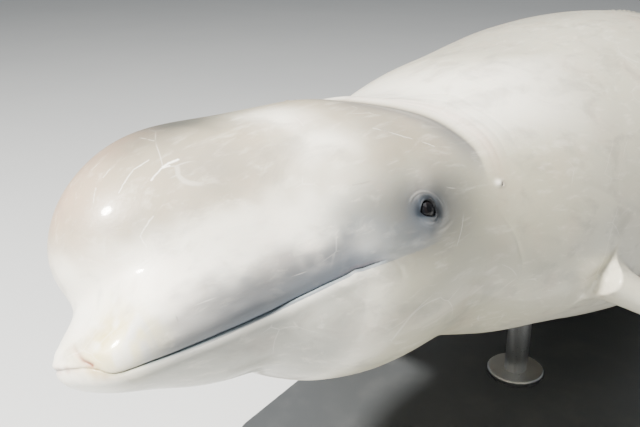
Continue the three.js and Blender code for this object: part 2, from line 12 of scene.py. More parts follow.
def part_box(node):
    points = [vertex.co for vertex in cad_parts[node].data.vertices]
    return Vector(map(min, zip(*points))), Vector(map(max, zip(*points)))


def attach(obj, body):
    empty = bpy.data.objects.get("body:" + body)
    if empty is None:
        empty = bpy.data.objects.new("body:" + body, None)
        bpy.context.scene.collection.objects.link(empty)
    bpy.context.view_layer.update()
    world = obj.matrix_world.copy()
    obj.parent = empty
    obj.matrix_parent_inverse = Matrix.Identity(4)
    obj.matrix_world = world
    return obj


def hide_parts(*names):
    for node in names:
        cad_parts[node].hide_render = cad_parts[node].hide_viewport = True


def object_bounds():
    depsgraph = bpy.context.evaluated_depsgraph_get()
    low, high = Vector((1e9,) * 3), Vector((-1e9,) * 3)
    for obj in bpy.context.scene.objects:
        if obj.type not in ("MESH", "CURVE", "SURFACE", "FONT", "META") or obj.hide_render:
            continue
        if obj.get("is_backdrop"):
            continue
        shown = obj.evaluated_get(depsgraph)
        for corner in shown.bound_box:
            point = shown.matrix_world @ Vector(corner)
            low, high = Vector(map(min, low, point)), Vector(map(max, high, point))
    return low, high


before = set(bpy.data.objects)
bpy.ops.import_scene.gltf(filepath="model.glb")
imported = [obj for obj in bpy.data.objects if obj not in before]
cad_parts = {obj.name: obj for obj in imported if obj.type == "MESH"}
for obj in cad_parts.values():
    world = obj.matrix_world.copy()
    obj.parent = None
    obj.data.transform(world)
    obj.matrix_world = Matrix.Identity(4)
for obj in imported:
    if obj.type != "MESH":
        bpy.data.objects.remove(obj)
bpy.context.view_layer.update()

MM = 0.001

# Sizes shared with the solids, in millimetres and degrees.
NECK_START, NECK_END = 440.0, 950.0
NECK_YAW, NECK_PITCH, NECK_TWIST = 7.7, -4.9, 13.0
LOIN_START, LOIN_END, LOIN_ARCH = 1100.0, 2300.0, 7.0
TAIL_START, TAIL_END, TAIL_ARCH = 2500.0, 3600.0, 5.0
NOSE_UP, BANK = 11.0, 11.0

HEAD_Z = -20.0
# Rounded masses of the head: centre, radii, pitch, roll, and the powers of their roundness.
MELON_FRONT = (185.5, 27.5, 108.7, 141.7, 93.6, 108.1, 8.5, 3.4, 2, 1.92)
MELON_BACK = (297.3, 0, 89.9, 180.1, 128.4, 113.1, 0, 0, 2, 2)
UPPER_JAW = (158.5, 0, 4.3, 158.5, 90.8, 59.9, 4.8, 0, 2.48, 2.05)
LOWER_JAW = (242.8, 0, 10.7, 195, 105.4, 107.2, -2.1, 0, 2.5, 2)
CRANIUM = (446.2, 0, 21.2, 260, 200, 183.6, 0, 0, 2, 2)
JAW_SHIFT_Y, JAW_SHIFT_END = -6.5, 320.0
BLEND_HEAD, BLEND_JAWS, BLEND_CREASE = 30.0, 14.0, 10.0
HEAD_REACH = 1100.0

# Distance from the tip, height of the back, height of the belly, half width.
TRUNK = np.array([
    [300, 120, -125, 135], [400, 146, -158, 172], [500, 145, -175, 183], [620, 187, -212, 215],
    [750, 228, -250, 251], [900, 259, -276, 281], [1100, 302, -312, 322], [1400, 351, -356, 373],
    [1700, 357, -357, 377], [2000, 345, -340, 358], [2300, 318, -310, 318], [2600, 280, -272, 262],
    [2900, 236, -226, 192], [3200, 188, -176, 128], [3500, 142, -130, 82], [3750, 98, -88, 55],
    [4000, 30, -26, 30],
], float)
TRUNK_POWER = 2.2
TRUNK_FADE_X, TRUNK_FADE_REACH = 330.0, 90.0
TAIL_CLOSE = 3950.0
RIDGE_START, RIDGE_END, RIDGE_HEIGHT, RIDGE_WIDTH = 1750.0, 2700.0, 26.0, 17.0

GAPE = (323.0, -25.5)
LIP_Z, LIP_BEAK, LIP_BEAK_REACH, LIP_BEND_START, LIP_BEND_END = -39.5, 16.5, 12.0, 195.0, 300.0
EYE_X, EYE_Z, EYE_R, EYE_SINK = 404.0, 15.0, 15.0, 11.5
EYE_WIDTH, EYE_BACK, EYE_DOWN, EYE_TILT = 29.0, -1.5, -4.5, math.radians(-18)
LID_TOP, LID_BOTTOM, LID_THICKNESS = 15.5, 5.5, 2.4
BLOWHOLE_X, BLOWHOLE_WIDTH, BLOWHOLE_SWEEP = 432.0, 56.0, 15.0
EAR_X, EAR_Y, EAR_Z = 578.0, 211.0, 16.0

FLIPPER_ROOT = (940.0, 262.0, -190.0)
FLIPPER_SWEEP, FLIPPER_DROOP, FLIPPER_PITCH, FLIPPER_CURL = 55.0, 27.0, -8.0, 26.0
# Distance along the span, chord, thickness, and how far the middle of the chord lies back.
FLIPPER = np.array([
    [-75, 140, 56, 0], [-20, 142, 54, 0], [30, 148, 50, 0], [90, 172, 46, 4], [160, 216, 40, 10],
    [230, 252, 34, 12], [300, 266, 27, 8], [360, 250, 21, 0], [405, 208, 17, -8], [435, 150, 14, -16],
    [452, 86, 11, -24], [461, 12, 7, -28],
], float)
# Distance from the midline, leading edge, trailing edge, thickness.
FLUKE = np.array([
    [0, 3640, 4000, 58], [24, 3643, 4020, 57], [46, 3652, 4036, 53], [66, 3672, 4048, 49],
    [90, 3700, 4059, 45], [130, 3732, 4074, 40], [180, 3764, 4085, 35], [240, 3801, 4087, 29],
    [300, 3840, 4078, 24], [355, 3880, 4061, 19], [400, 3916, 4042, 16], [440, 3952, 4023, 13],
    [470, 3981, 4009, 10], [486, 3997, 4000, 7],
], float)
FLUKE_CURL, FLUKE_RISE = 16.0, 3.0
FLIPPER_LENGTH, FLUKE_LENGTH = 459.0, 484.0
FIN_POWER = 1.8
FIN_FILLET = 14.0
# Where the fins' own shapes count: from and to along the body, out from the middle, below.
FLIPPER_FROM, FLIPPER_TO, FLIPPER_OUT, FLIPPER_BELOW, FLUKE_FROM = 680.0, 1600.0, 90.0, 40.0, 3500.0
FIN_FRONT, FIN_TAPER = 1.12, 0.28

# Where the photograph was taken from, in the head's own frame: turn, height and roll of the view
# in degrees, distance in metres from the point LOOK, that point's pixel, and the focal length.
LOOK = np.array([0.25, 0.0, 0.01])
VIEW = dict(az=-39.32, el=5.91, roll=-17.16, d=0.9936, u=230.77, v=268.84, f=777.9)


def smoothstep(t):
    t = np.clip(t, 0, 1)
    return t * t * (3 - 2 * t)


def rise(x, start, length):
    return smoothstep((x - start) / length)


def fade(x, start, length):
    return 1 - smoothstep((x - start) / length)


def bump(d, width, power=2):
    return np.exp(-(np.abs(d) / width) ** power)


def spot(p, centre, reach):
    return np.exp(-(((p - np.array(centre)) / np.array(reach)) ** 2).sum(1))


def mirrored(p):
    """The same points, moved to the right side."""
    return np.stack([p[:, 0], np.abs(p[:, 1]), p[:, 2]], 1)


def natural_spline(xs, ys):
    """Natural cubic spline through the stations, as a function of an array."""
    n = len(xs)
    h = np.diff(xs)
    a = np.eye(n)
    b = np.zeros(n)
    b[1:-1] = 6 * np.diff(np.diff(ys) / h)
    for i in range(1, n - 1):
        a[i, i - 1:i + 2] = h[i - 1], 2 * (h[i - 1] + h[i]), h[i]
    m = np.linalg.solve(a, b)

    def value(x):
        x = np.clip(x, xs[0], xs[-1])
        i = np.clip(np.searchsorted(xs, x) - 1, 0, n - 2)
        d, u, v = h[i], xs[i + 1] - x, x - xs[i]
        curve = (m[i] * u ** 3 + m[i + 1] * v ** 3) / (6 * d)
        return curve + (ys[i] / d - m[i] * d / 6) * u + (ys[i + 1] / d - m[i + 1] * d / 6) * v
    return value


back_height = natural_spline(TRUNK[:, 0], TRUNK[:, 1])
belly_height = natural_spline(TRUNK[:, 0], TRUNK[:, 2])
half_width = natural_spline(TRUNK[:, 0], TRUNK[:, 3])


def blob(e, p):
    cx, cy, cz, rx, ry, rz, pitch, roll, n, m = e
    c, s = math.cos(math.radians(pitch)), math.sin(math.radians(pitch))
    cr, sr = math.cos(math.radians(roll)), math.sin(math.radians(roll))
    px, py, pz = p[:, 0] - cx, p[:, 1] - cy, p[:, 2] - HEAD_Z - cz
    y, pz = py * cr + pz * sr, pz * cr - py * sr
    ax, az = px * c + pz * s, pz * c - px * s
    if n == 2 and m == 2:
        rho = np.sqrt((ax / rx) ** 2 + (y / ry) ** 2 + (az / rz) ** 2)
    else:
        flat = np.abs(ax / rx) ** n + np.abs(y / ry) ** n
        rho = (flat ** (m / n) + np.abs(az / rz) ** m) ** (1 / m)
    return np.sqrt(ax * ax + y * y + az * az) * (1 - 1 / (rho + 1e-9))


def blend(values, k):
    v = np.stack(values)
    low = v.min(0)
    return low - k * np.log(np.exp(-(v - low) / k).sum(0))


def ridge_height(x):
    t = np.clip((x - RIDGE_START) / (RIDGE_END - RIDGE_START), 0, 1)
    return RIDGE_HEIGHT * np.sin(math.pi * t) ** 0.8


def trunk(p):
    x, y = p[:, 0], p[:, 1]
    top, bottom = back_height(x), belly_height(x)
    pz = p[:, 2] - (top + bottom) / 2
    side = np.abs(y / half_width(x)) ** TRUNK_POWER
    up = np.abs(2 * pz / (top - bottom)) ** TRUNK_POWER
    rho = (side + up) ** (1 / TRUNK_POWER) + 1e-9
    ridge = np.where(pz > 0, ridge_height(x) * bump(y, RIDGE_WIDTH), 0)
    ends = np.maximum(0, TRUNK_FADE_X - x) ** 2 / TRUNK_FADE_REACH + np.maximum(0, x - TAIL_CLOSE)
    return np.hypot(y, pz) * (1 - 1 / rho) + ends - ridge


def body_field(p):
    """Negative inside the head and trunk."""
    f = trunk(p)
    near = p[:, 0] <= HEAD_REACH
    q = p[near]
    if len(q):
        shift = JAW_SHIFT_Y * (1 - smoothstep(q[:, 0] / JAW_SHIFT_END))
        j = q - shift[:, None] * (0, 1, 0)
        jaws = blend([blob(UPPER_JAW, j), blob(LOWER_JAW, j)], BLEND_JAWS)
        skull = [blob(MELON_FRONT, q), blob(MELON_BACK, q), blob(CRANIUM, q), f[near]]
        f[near] = blend([blend(skull, BLEND_HEAD), jaws], BLEND_CREASE)
    return f


def fin_section(across, height, chord, thickness, n=FIN_POWER):
    """Rounded section, thickest ahead of the middle. across runs from leading to trailing edge."""
    half = np.maximum(chord, 0.5) / 2
    u = across / half
    t = thickness / 2 * np.clip(FIN_FRONT - FIN_TAPER * u, 0.3, 2)
    rho = (np.abs(u) ** n + np.abs(height / t) ** n) ** (1 / n) + 1e-9
    return np.hypot(across, height) * (1 - 1 / rho)


def flipper_axes():
    droop, sweep, pitch = (math.radians(v) for v in (FLIPPER_DROOP, FLIPPER_SWEEP, FLIPPER_PITCH))
    level = Vector((math.sin(sweep), math.cos(sweep), 0))
    span = level * math.cos(droop) - Vector((0, 0, math.sin(droop)))
    up = (Vector((0, 0, 1)) - span * span.z).normalized()
    chordwise = span.cross(up).normalized()
    if chordwise.x < 0:
        chordwise.negate()
    turn = Matrix.Rotation(pitch, 3, span)
    return np.array(span), np.array(turn @ up), np.array(turn @ chordwise)


FLIPPER_SPAN, FLIPPER_UP, FLIPPER_CHORD = flipper_axes()


def fin_profile(stations, s, column):
    """Chord squared runs straight between stations, which rounds the tip. Others run straight."""
    if column == 1:
        return np.sqrt(np.maximum(np.interp(s, stations[:, 0], stations[:, 1] ** 2), 1e-6))
    return np.interp(s, stations[:, 0], stations[:, column])


def flipper_lift(s):
    return FLIPPER_CURL * (np.maximum(s, 0) / FLIPPER_LENGTH) ** 2


def fluke_lift(s):
    return FLUKE_RISE + FLUKE_CURL * (s / FLUKE_LENGTH) ** 2


def flipper_local(p):
    q = mirrored(p) - FLIPPER_ROOT
    s = q @ FLIPPER_SPAN
    return s, q @ FLIPPER_CHORD, q @ FLIPPER_UP - flipper_lift(s)


def flipper_field(p):
    s, c, v = flipper_local(p)
    chord = fin_profile(FLIPPER, s, 1)
    shift = fin_profile(FLIPPER, s, 3)
    f = fin_section(c - shift, v, chord, fin_profile(FLIPPER, s, 2))
    return f + np.maximum(0, s - FLIPPER[-1, 0]) + 4 * np.maximum(0, FLIPPER[0, 0] - s)


def fluke_field(p):
    s = np.abs(p[:, 1])
    lead, trail, thick = (np.interp(s, FLUKE[:, 0], FLUKE[:, i]) for i in (1, 2, 3))
    f = fin_section(p[:, 0] - (lead + trail) / 2, p[:, 2] - fluke_lift(s), trail - lead, thick)
    return f + np.maximum(0, s - FLUKE[-1, 0])


def field(p):
    f = body_field(p)
    x = p[:, 0]
    y = np.abs(p[:, 1])
    near = (x > FLIPPER_FROM) & (x < FLIPPER_TO) & (y > FLIPPER_OUT) & (p[:, 2] < FLIPPER_BELOW)
    if near.any():
        f[near] = blend([f[near], flipper_field(p[near])], FIN_FILLET)
    near = x > FLUKE_FROM
    if near.any():
        f[near] = blend([f[near], fluke_field(p[near])], FIN_FILLET)
    return f


TETRA = np.array([[1, -1, -1], [-1, -1, 1], [-1, 1, -1], [1, 1, 1]], float)


def gradient(p, e=0.4, f=field):
    return sum(k * f(p + k * e)[:, None] for k in TETRA) / (4 * e)


def project(p, rounds=3, limit=4.0, f=field):
    """Moves points along the gradient onto the surface."""
    for _ in range(rounds):
        g = gradient(p, f=f)
        step = f(p) / np.maximum((g * g).sum(1), 0.05)
        p = p - g * np.clip(step, -limit, limit)[:, None]
    return p


def cast(origin, direction, f=body_field, reach=900.0):
    low = np.zeros(len(origin))
    high = np.full(len(origin), reach)
    found = np.zeros(len(origin), bool)
    for r in np.arange(8.0, reach, 12.0):
        new = ~found & (f(origin + direction * r) > 0)
        high[new] = r
        found |= new
        low[~found] = r
        if found.all():
            break
    for _ in range(14):
        middle = (low + high) / 2
        inside = f(origin + direction * middle[:, None]) < 0
        low = np.where(inside, middle, low)
        high = np.where(inside, high, middle)
    return origin + direction * ((low + high) / 2)[:, None]


# Pose: the straight whale, bent along its spine and turned into the room.
def spine_frames(x):
    bend = smoothstep((x - NECK_START) / (NECK_END - NECK_START))
    yaw, pitch, roll = (np.radians(v) * bend for v in (NECK_YAW, NECK_PITCH, NECK_TWIST))
    arch = np.radians(LOIN_ARCH * smoothstep((x - LOIN_START) / (LOIN_END - LOIN_START))
                      + TAIL_ARCH * smoothstep((x - TAIL_START) / (TAIL_END - TAIL_START)))
    back = np.stack([np.cos(yaw) * np.cos(pitch), np.sin(yaw) * np.cos(pitch), np.sin(pitch)], -1)
    level = np.stack([-np.sin(yaw), np.cos(yaw), 0 * yaw], -1)
    lift = np.cross(back, level)
    cr, sr, ca, sa = (v[:, None] for v in (np.cos(roll), np.sin(roll), np.cos(arch), np.sin(arch)))
    right = level * cr + lift * sr
    up = lift * cr - level * sr
    return back * ca + up * sa, right, up * ca - back * sa


SPINE_STEP, SPINE_LENGTH = 10.0, 4400.0
SPINE_X = np.arange(0, SPINE_LENGTH + SPINE_STEP, SPINE_STEP)
SPINE = np.zeros((len(SPINE_X), 3))
SPINE[1:] = np.cumsum(spine_frames(SPINE_X[1:] - SPINE_STEP / 2)[0] * SPINE_STEP, 0)


def room_matrix():
    back, right, up = (v[0] for v in spine_frames(np.array([NECK_END])))
    nose, bank = math.radians(NOSE_UP), math.radians(BANK)
    room_back = np.array([math.cos(nose), 0, -math.sin(nose)])
    room_lift = np.array([math.sin(nose), 0, math.cos(nose)])
    room_right = np.array([0, math.cos(bank), 0]) - room_lift * math.sin(bank)
    room_up = np.array([0, math.sin(bank), 0]) + room_lift * math.cos(bank)
    return np.stack([room_back, room_right, room_up], 1) @ np.stack([back, right, up], 0)


ROOM = room_matrix()


def bent(p):
    x = np.clip(p[:, 0], 0, SPINE_LENGTH - SPINE_STEP)
    place = np.stack([np.interp(x, SPINE_X, SPINE[:, k]) for k in range(3)], -1)
    back, right, up = spine_frames(x)
    q = place + back * (p[:, 0] - x)[:, None] + right * p[:, 1:2] + up * p[:, 2:3]
    return q @ ROOM.T


def side_point(x, z, side):
    return cast(np.array([[x, 0.0, z]]), np.array([[0.0, side, 0.0]]))


def unit(v):
    return v / np.linalg.norm(v, axis=-1, keepdims=True)


EYES = {}
for name, side in (("left", -1.0), ("right", 1.0)):
    surface = side_point(EYE_X, EYE_Z, side)
    normal = unit(gradient(surface, e=1.0, f=body_field))
    EYES[name] = (surface - normal * EYE_SINK, normal)

low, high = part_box("eye_left")
OFFSET = np.array((low + high) / 2) / MM - bent(EYES["left"][0])[0]


def posed(p):
    """From the straight whale in millimetres to the room in metres."""
    return (bent(p) + OFFSET) * MM


def lattice_noise(p, seed=0):
    """Smooth value noise in [-1, 1] on a unit lattice."""
    i = np.floor(p).astype(np.int64)
    t = p - i
    t = t * t * t * (t * (6 * t - 15) + 10)
    out = np.zeros(len(p))
    for corner in range(8):
        c = np.array([corner >> 2 & 1, corner >> 1 & 1, corner & 1])
        q = (i + c).astype(np.uint64)
        h = q[:, 0] * np.uint64(374761393) + q[:, 1] * np.uint64(668265263)
        h = h + q[:, 2] * np.uint64(2147483647) + np.uint64(seed * 144665 + 12345)
        h = (h ^ (h >> np.uint64(13))) * np.uint64(1274126177)
        h = (h ^ (h >> np.uint64(16))) & np.uint64(0xFFFF)
        w = np.where(c == 1, t, 1 - t).prod(1)
        out += w * (h.astype(float) / 32767.5 - 1)
    return out


def cloud(p, size, octaves=3, seed=0):
    total = np.zeros(len(p))
    for o in range(octaves):
        total += lattice_noise(p / size * 2 ** o + 17.3 * o, seed + o) * 0.5 ** o
    return total


# Mesh of the skin.
def add_object(name, data):
    obj = bpy.data.objects.new(name, data)
    bpy.context.scene.collection.objects.link(obj)
    return obj


# A fan of rays from one point covers the snout, and rings along the axis cover the rest.
FAN_ORIGIN = np.array([240.0, 0, -15.0])
FAN_ANGLES = np.linspace(2.5, 90, 36)
RING_X = np.concatenate([np.arange(252, 700, 12.0), np.arange(700, 3960, 24.0)])
RING_POINTS, TO_TRUNK = 96, 210.0
FIN_RING_POINTS, FLIPPER_RINGS, FLUKE_RINGS = 40, 44, 60


def closed_loft(rings, start, end):
    """Vertices and faces of a tube through rings of equal count, closed to a point at both ends."""
    count = rings.shape[1]
    verts = np.concatenate([rings.reshape(-1, 3), [start, end]])
    j = np.arange(count)
    nxt = (j + 1) % count
    faces = []
    for i in range(len(rings) - 1):
        a, b = i * count + j, i * count + nxt
        faces += np.stack([a, b, b + count, a + count], 1).tolist()
    last = (len(rings) - 1) * count
    s = len(verts) - 2
    faces += [[s, int(n), int(k)] for k, n in zip(j, nxt)]
    faces += [[s + 1, int(last + k), int(last + n)] for k, n in zip(j, nxt)]
    return verts, faces


def body_template():
    angles = np.arange(RING_POINTS) / RING_POINTS * 2 * math.pi
    around = np.stack([0 * angles, np.sin(angles), np.cos(angles)], -1)
    origins, directions = [], []
    for polar in np.radians(FAN_ANGLES):
        origins.append(FAN_ORIGIN)
        directions.append(math.sin(polar) * around - (math.cos(polar), 0, 0))
    for x in RING_X:
        to_trunk = min((x - FAN_ORIGIN[0]) / TO_TRUNK, 1)
        centre = (back_height(x) + belly_height(x)) / 2
        origins.append((x, 0, FAN_ORIGIN[2] * (1 - to_trunk) + centre * to_trunk))
        directions.append(around)
    origins = np.repeat(np.array(origins), RING_POINTS, 0)
    rings = cast(origins, np.concatenate(directions)).reshape(-1, RING_POINTS, 3)
    tip = cast(FAN_ORIGIN[None], np.array([[-1.0, 0, 0]]))[0]
    return closed_loft(rings, tip, rings[-1].mean(0) + (2, 0, 0))


def section_ring(centre, chordwise, up, chord, thickness):
    a = np.arange(FIN_RING_POINTS) / FIN_RING_POINTS * 2 * math.pi
    e = 2 / FIN_POWER
    u = -np.sign(np.cos(a)) * np.abs(np.cos(a)) ** e
    v = np.sign(np.sin(a)) * np.abs(np.sin(a)) ** e * thickness / 2 * (FIN_FRONT - FIN_TAPER * u)
    return centre + chordwise * (u * chord / 2)[:, None] + up * v[:, None]


def flipper_section(s):
    chord, thick, shift = (fin_profile(FLIPPER, s, i) for i in (1, 2, 3))
    centre = FLIPPER_ROOT + FLIPPER_SPAN * s + FLIPPER_UP * flipper_lift(s) + FLIPPER_CHORD * shift
    return section_ring(centre, FLIPPER_CHORD, FLIPPER_UP, chord, thick)


def fluke_section(s):
    lead, trail, thick = (np.interp(abs(s), FLUKE[:, 0], FLUKE[:, i]) for i in (1, 2, 3))
    centre = np.array([(lead + trail) / 2, s, fluke_lift(s)])
    return section_ring(centre, np.array([1.0, 0, 0]), np.array([0, 0, 1.0]), trail - lead, thick)


def fin_template(section, places, tip, side):
    rings = np.array([section(s) for s in places]) * (1, side, 1)
    return closed_loft(rings, rings[0].mean(0), rings[-1].mean(0) + tip * (1, side, 1))


def joined_mesh(name, parts):
    verts, faces = [], []
    for v, f in parts:
        faces += [[len(verts) + k for k in face] for face in f]
        verts += (v * MM).tolist()
    mesh = bpy.data.meshes.new(name)
    mesh.from_pydata(verts, [], faces)
    bm = bmesh.new()
    bm.from_mesh(mesh)
    bmesh.ops.recalc_face_normals(bm, faces=bm.faces)
    bm.to_mesh(mesh)
    bm.free()
    return mesh


def coordinates(mesh):
    co = np.empty(len(mesh.vertices) * 3, np.float32)
    mesh.vertices.foreach_get("co", co)
    return co.reshape(-1, 3).astype(float)


def store(mesh, co):
    mesh.vertices.foreach_set("co", np.ascontiguousarray(co, np.float32).ravel())
    mesh.update()


def relax(mesh, p, rounds, strength=0.5):
    """Evens the vertices along the surface."""
    e = np.empty(len(mesh.edges) * 2, np.int32)
    mesh.edges.foreach_get("vertices", e)
    a, b = e.reshape(-1, 2).T
    n = len(p)
    degree = np.bincount(a, minlength=n) + np.bincount(b, minlength=n)
    for _ in range(rounds):
        mean = np.stack([np.bincount(a, p[b, k], n) + np.bincount(b, p[a, k], n) for k in range(3)], -1)
        mean /= np.maximum(degree, 1)[:, None]
        normal = unit(gradient(p) + 1e-9)
        move = (mean - p) * strength
        p = p + move - normal * (move * normal).sum(1, keepdims=True)
    return p


def refine(obj, want):
    """Splits every face whose middle passes the test, and sets new corners on the surface."""
    bm = bmesh.new()
    bm.from_mesh(obj.data)
    bm.faces.ensure_lookup_table()
    centres = np.array([f.calc_center_median() for f in bm.faces]) / MM
    chosen = np.nonzero(want(centres))[0]
    edges = {e for i in chosen for e in bm.faces[i].edges}
    bmesh.ops.subdivide_edges(bm, edges=list(edges), cuts=1, use_grid_fill=True)
    bm.to_mesh(obj.data)
    bm.free()
    p = project(coordinates(obj.data) / MM, 2)
    store(obj.data, p * MM)


def mouth_z(x):
    beak = LIP_BEAK * bump(np.maximum(x, 0), LIP_BEAK_REACH) + 1.6 * bump(x - 289, 6)
    corner = (GAPE[1] - LIP_Z) * rise(x, LIP_BEND_START, LIP_BEND_END - LIP_BEND_START)
    return LIP_Z + beak + corner


def mouth_distance(p):
    """Height above the mouth's line, square to it."""
    x = p[:, 0]
    slope = (mouth_z(x + 1) - mouth_z(x - 1)) / 2
    return (p[:, 2] - mouth_z(x)) / np.sqrt(1 + slope ** 2)


def eye_local(p, centre, normal):
    """Distances from the eyeball's centre: backward along the skin, up it and out of it."""
    along = unit(np.array([1.0, 0, 0]) - normal[0] * normal[0][0])
    across = np.cross(normal[0], along)
    across *= np.sign(across[2])
    q = p - centre[0]
    return q @ along, q @ across, q @ normal[0]


VOXEL = 5.0
# Reach of each finer step round the mouth, the eyes, the ears and the blowhole.
FINE_ZONES = [] + [(16, 45, 16, 44), (6, 30, 8, 38)]


def make_skin():
    flipper_places = np.linspace(FLIPPER[0, 0], FLIPPER[-1, 0] - 1, FLIPPER_RINGS)
    fluke_places = np.linspace(-12, FLUKE[-1, 0] - 0.5, FLUKE_RINGS)
    fins = ((flipper_section, flipper_places, FLIPPER_SPAN * 0.5),
            (fluke_section, fluke_places, np.array([0, 0.4, 0])))
    parts = [body_template()] + [fin_template(*fin, side) for fin in fins for side in (-1, 1)]
    obj = add_object("whale_skin", joined_mesh("whale_skin", parts))
    remesh = obj.modifiers.new("remesh", "REMESH")
    remesh.mode = "VOXEL"
    remesh.voxel_size = VOXEL * MM
    bpy.context.view_layer.update()
    done = bpy.data.meshes.new_from_object(obj.evaluated_get(bpy.context.evaluated_depsgraph_get()))
    obj.modifiers.clear()
    obj.data = done
    done.name = "whale_skin"
    p = project(coordinates(done) / MM, 4, 6.0)
    p = relax(done, p, 4)
    p = project(p, 2)
    store(done, p * MM)

    def distances(c):
        mouth = np.where(c[:, 0] < 352, np.abs(mouth_distance(c)), np.inf)
        eyes = [np.linalg.norm(c - centre[0] - axis[0] * 11, axis=1) for centre, axis in EYES.values()]
        ear = np.linalg.norm(mirrored(c) - (EAR_X, EAR_Y, EAR_Z), axis=1)
        hole = np.where(c[:, 2] > 80, np.hypot(c[:, 0] - BLOWHOLE_X + 5, c[:, 1]), np.inf)
        return np.stack([mouth, np.minimum(*eyes), ear, hole], 1)

    refine(obj, lambda c: c[:, 0] < 640)
    for reach in FINE_ZONES:
        refine(obj, lambda c: (distances(c) < reach).any(1))
    return obj


skin = make_skin()
canon = coordinates(skin.data) / MM


# Relief of the skin. The crease of the nape: its angle from the top, and its place along the axis.
NAPE_ANGLE = np.array([0, 20, 28, 36, 44, 50, 60, 70, 78, 95], float)
NAPE_X = np.array([464, 469, 479, 507, 533, 545, 558, 563, 556, 540], float)
nape_place = natural_spline(NAPE_ANGLE, NAPE_X)

# Folds on both sides: depth, width and the line's points as x, z.
SIDE_FOLDS = (
    (1.5, 5.0, (744, 52), (764, 45), (784, 34)),
    (1.8, 6.0, (766, 5), (812, -9), (862, -27), (950, -58), (1010, -84)),
    (1.2, 6.0, (800, 62), (836, 50), (880, 28)),
    (1.0, 7.0, (690, 96), (730, 82), (775, 74)),
    (0.7, 3.5, (557, -18), (590, -60), (618, -110), (620, -160)),
    (0.5, 2.5, (316, 72), (328, 68), (343, 69)),
    (0.6, 2.5, (411, -16), (424, -15), (441, -10)),
    (1.3, 3.5, (326, -27), (335, -31), (343, -40), (348, -52)),
    (0.9, 4.5, (328, -19), (340, -21), (351, -28), (358, -38)),
    (0.6, 5.0, (345, -8), (366, -14), (385, -14)),
)
# Soft rolls of blubber low on the flank.
FLANK_FOLDS = (
    (7.0, 26.0, (1010, -205), (1200, -238), (1450, -250), (1720, -240), (1930, -214)),
    (5.0, 24.0, (1180, -140), (1400, -165), (1640, -172), (1860, -160)),
    (4.0, 22.0, (1900, -150), (2100, -165), (2320, -160), (2480, -146)),
)
NOSE_FULLNESS = (4.0, (6.0, 16.0, -22.0), (26.0, 24.0, 22.0))
# Depth and width of the mouth's line, and the lips' tuck and roll above and below it.
MOUTH_DEPTH, MOUTH_WIDTH = 1.5, 1.3
TUCK_ABOVE, TUCK_BELOW = (3.6, 7.5), (1.8, 6.0)
ROLL_ABOVE, ROLL_BELOW = (1.8, 17, 9), (0.8, -12, 7)
BLOWHOLE_DEPTH, BLOWHOLE_RIM = 9.0, 1.8
NAPE_DEPTH, NAPE_SWELL = 4.6, 2.2
NAPE_RIPPLES = ((19, 0.7), (33, 0.8), (52, 0.6), (76, 0.5))
NAVEL_X, NAVEL_DEPTH = 2060, 5.0
SLITS, SLIT_DEPTH = ((2540, 2690), (2790, 2835)), 5.0
KNOB_HEIGHT, KNOB_STEP = 1.6, 9.5
SCAR_DEPTH, EAR_DEPTH, EAR_MOUND = 1.3, 4.5, 2.4
HEAD_UNEVEN, BODY_UNEVEN = 0.55, 3.2
SCAR = np.array([(10, -12, -2), (7, -24, -9), (5, -34, -16), (7, -43, -22)], float)


def line_distance(q, points):
    """Distance to a broken line, and how far along it the nearest point lies, from 0 to 1."""
    points = np.asarray(points, float)
    best = np.full(len(q), 1e9)
    place = np.zeros(len(q))
    for i in range(len(points) - 1):
        a, d = points[i], points[i + 1] - points[i]
        t = np.clip((q - a) @ d / (d @ d), 0, 1)
        r = np.linalg.norm(q - a - t[:, None] * d, axis=1)
        closer = r < best
        best = np.where(closer, r, best)
        place = np.where(closer, (i + t) / (len(points) - 1), place)
    return best, place


def fold(q, depth, width, *points):
    r, t = line_distance(q, points)
    return -depth * bump(r, width) * np.clip(np.sin(math.pi * (0.06 + 0.88 * t)), 0, 1) ** 0.7


def nape(p):
    """Distance behind the crease where the head meets the neck, and the angle from the top."""
    angle = np.degrees(np.arctan2(np.abs(p[:, 1]), p[:, 2] + 10))
    slope = (nape_place(angle + 2) - nape_place(angle - 2)) / 4 / 3.5
    return (p[:, 0] - nape_place(angle)) / np.sqrt(1 + slope ** 2), angle


def lips(p):
    x = p[:, 0]
    d = mouth_distance(p) + 0.5 * cloud(p, 40, 2, 5)
    closed = smoothstep((GAPE[0] + 9 - x) / 26)
    out = -closed * MOUTH_DEPTH * bump(d, MOUTH_WIDTH, 1.5)
    tuck = [depth * bump(d, width, 1) for depth, width in (TUCK_ABOVE, TUCK_BELOW)]
    roll = [height * bump(d - place, width) for height, place, width in (ROLL_ABOVE, ROLL_BELOW)]
    front = 0.45 + 0.55 * rise(x, 12, 40)
    return out + closed * front * np.where(d > 0, roll[0] - tuck[0], roll[1] - tuck[1])


def blowhole(p):
    """A crescent, its ends forward, inside a raised rim."""
    x, y, z = p.T
    t = np.clip(y / (BLOWHOLE_WIDTH / 2), -1.6, 1.6)
    u = x - (BLOWHOLE_X - BLOWHOLE_SWEEP * t * t)
    half = np.sqrt(np.maximum(0, 1 - t * t))
    cut = -BLOWHOLE_DEPTH * bump(u, 0.8 + 2.4 * half, 2.4) * smoothstep((1.12 - np.abs(t)) / 0.25)
    rim = BLOWHOLE_RIM * bump(np.abs(u) - 8, 4.5) * smoothstep((1.35 - np.abs(t)) / 0.5)
    return np.where(z > 80, cut + rim, 0)


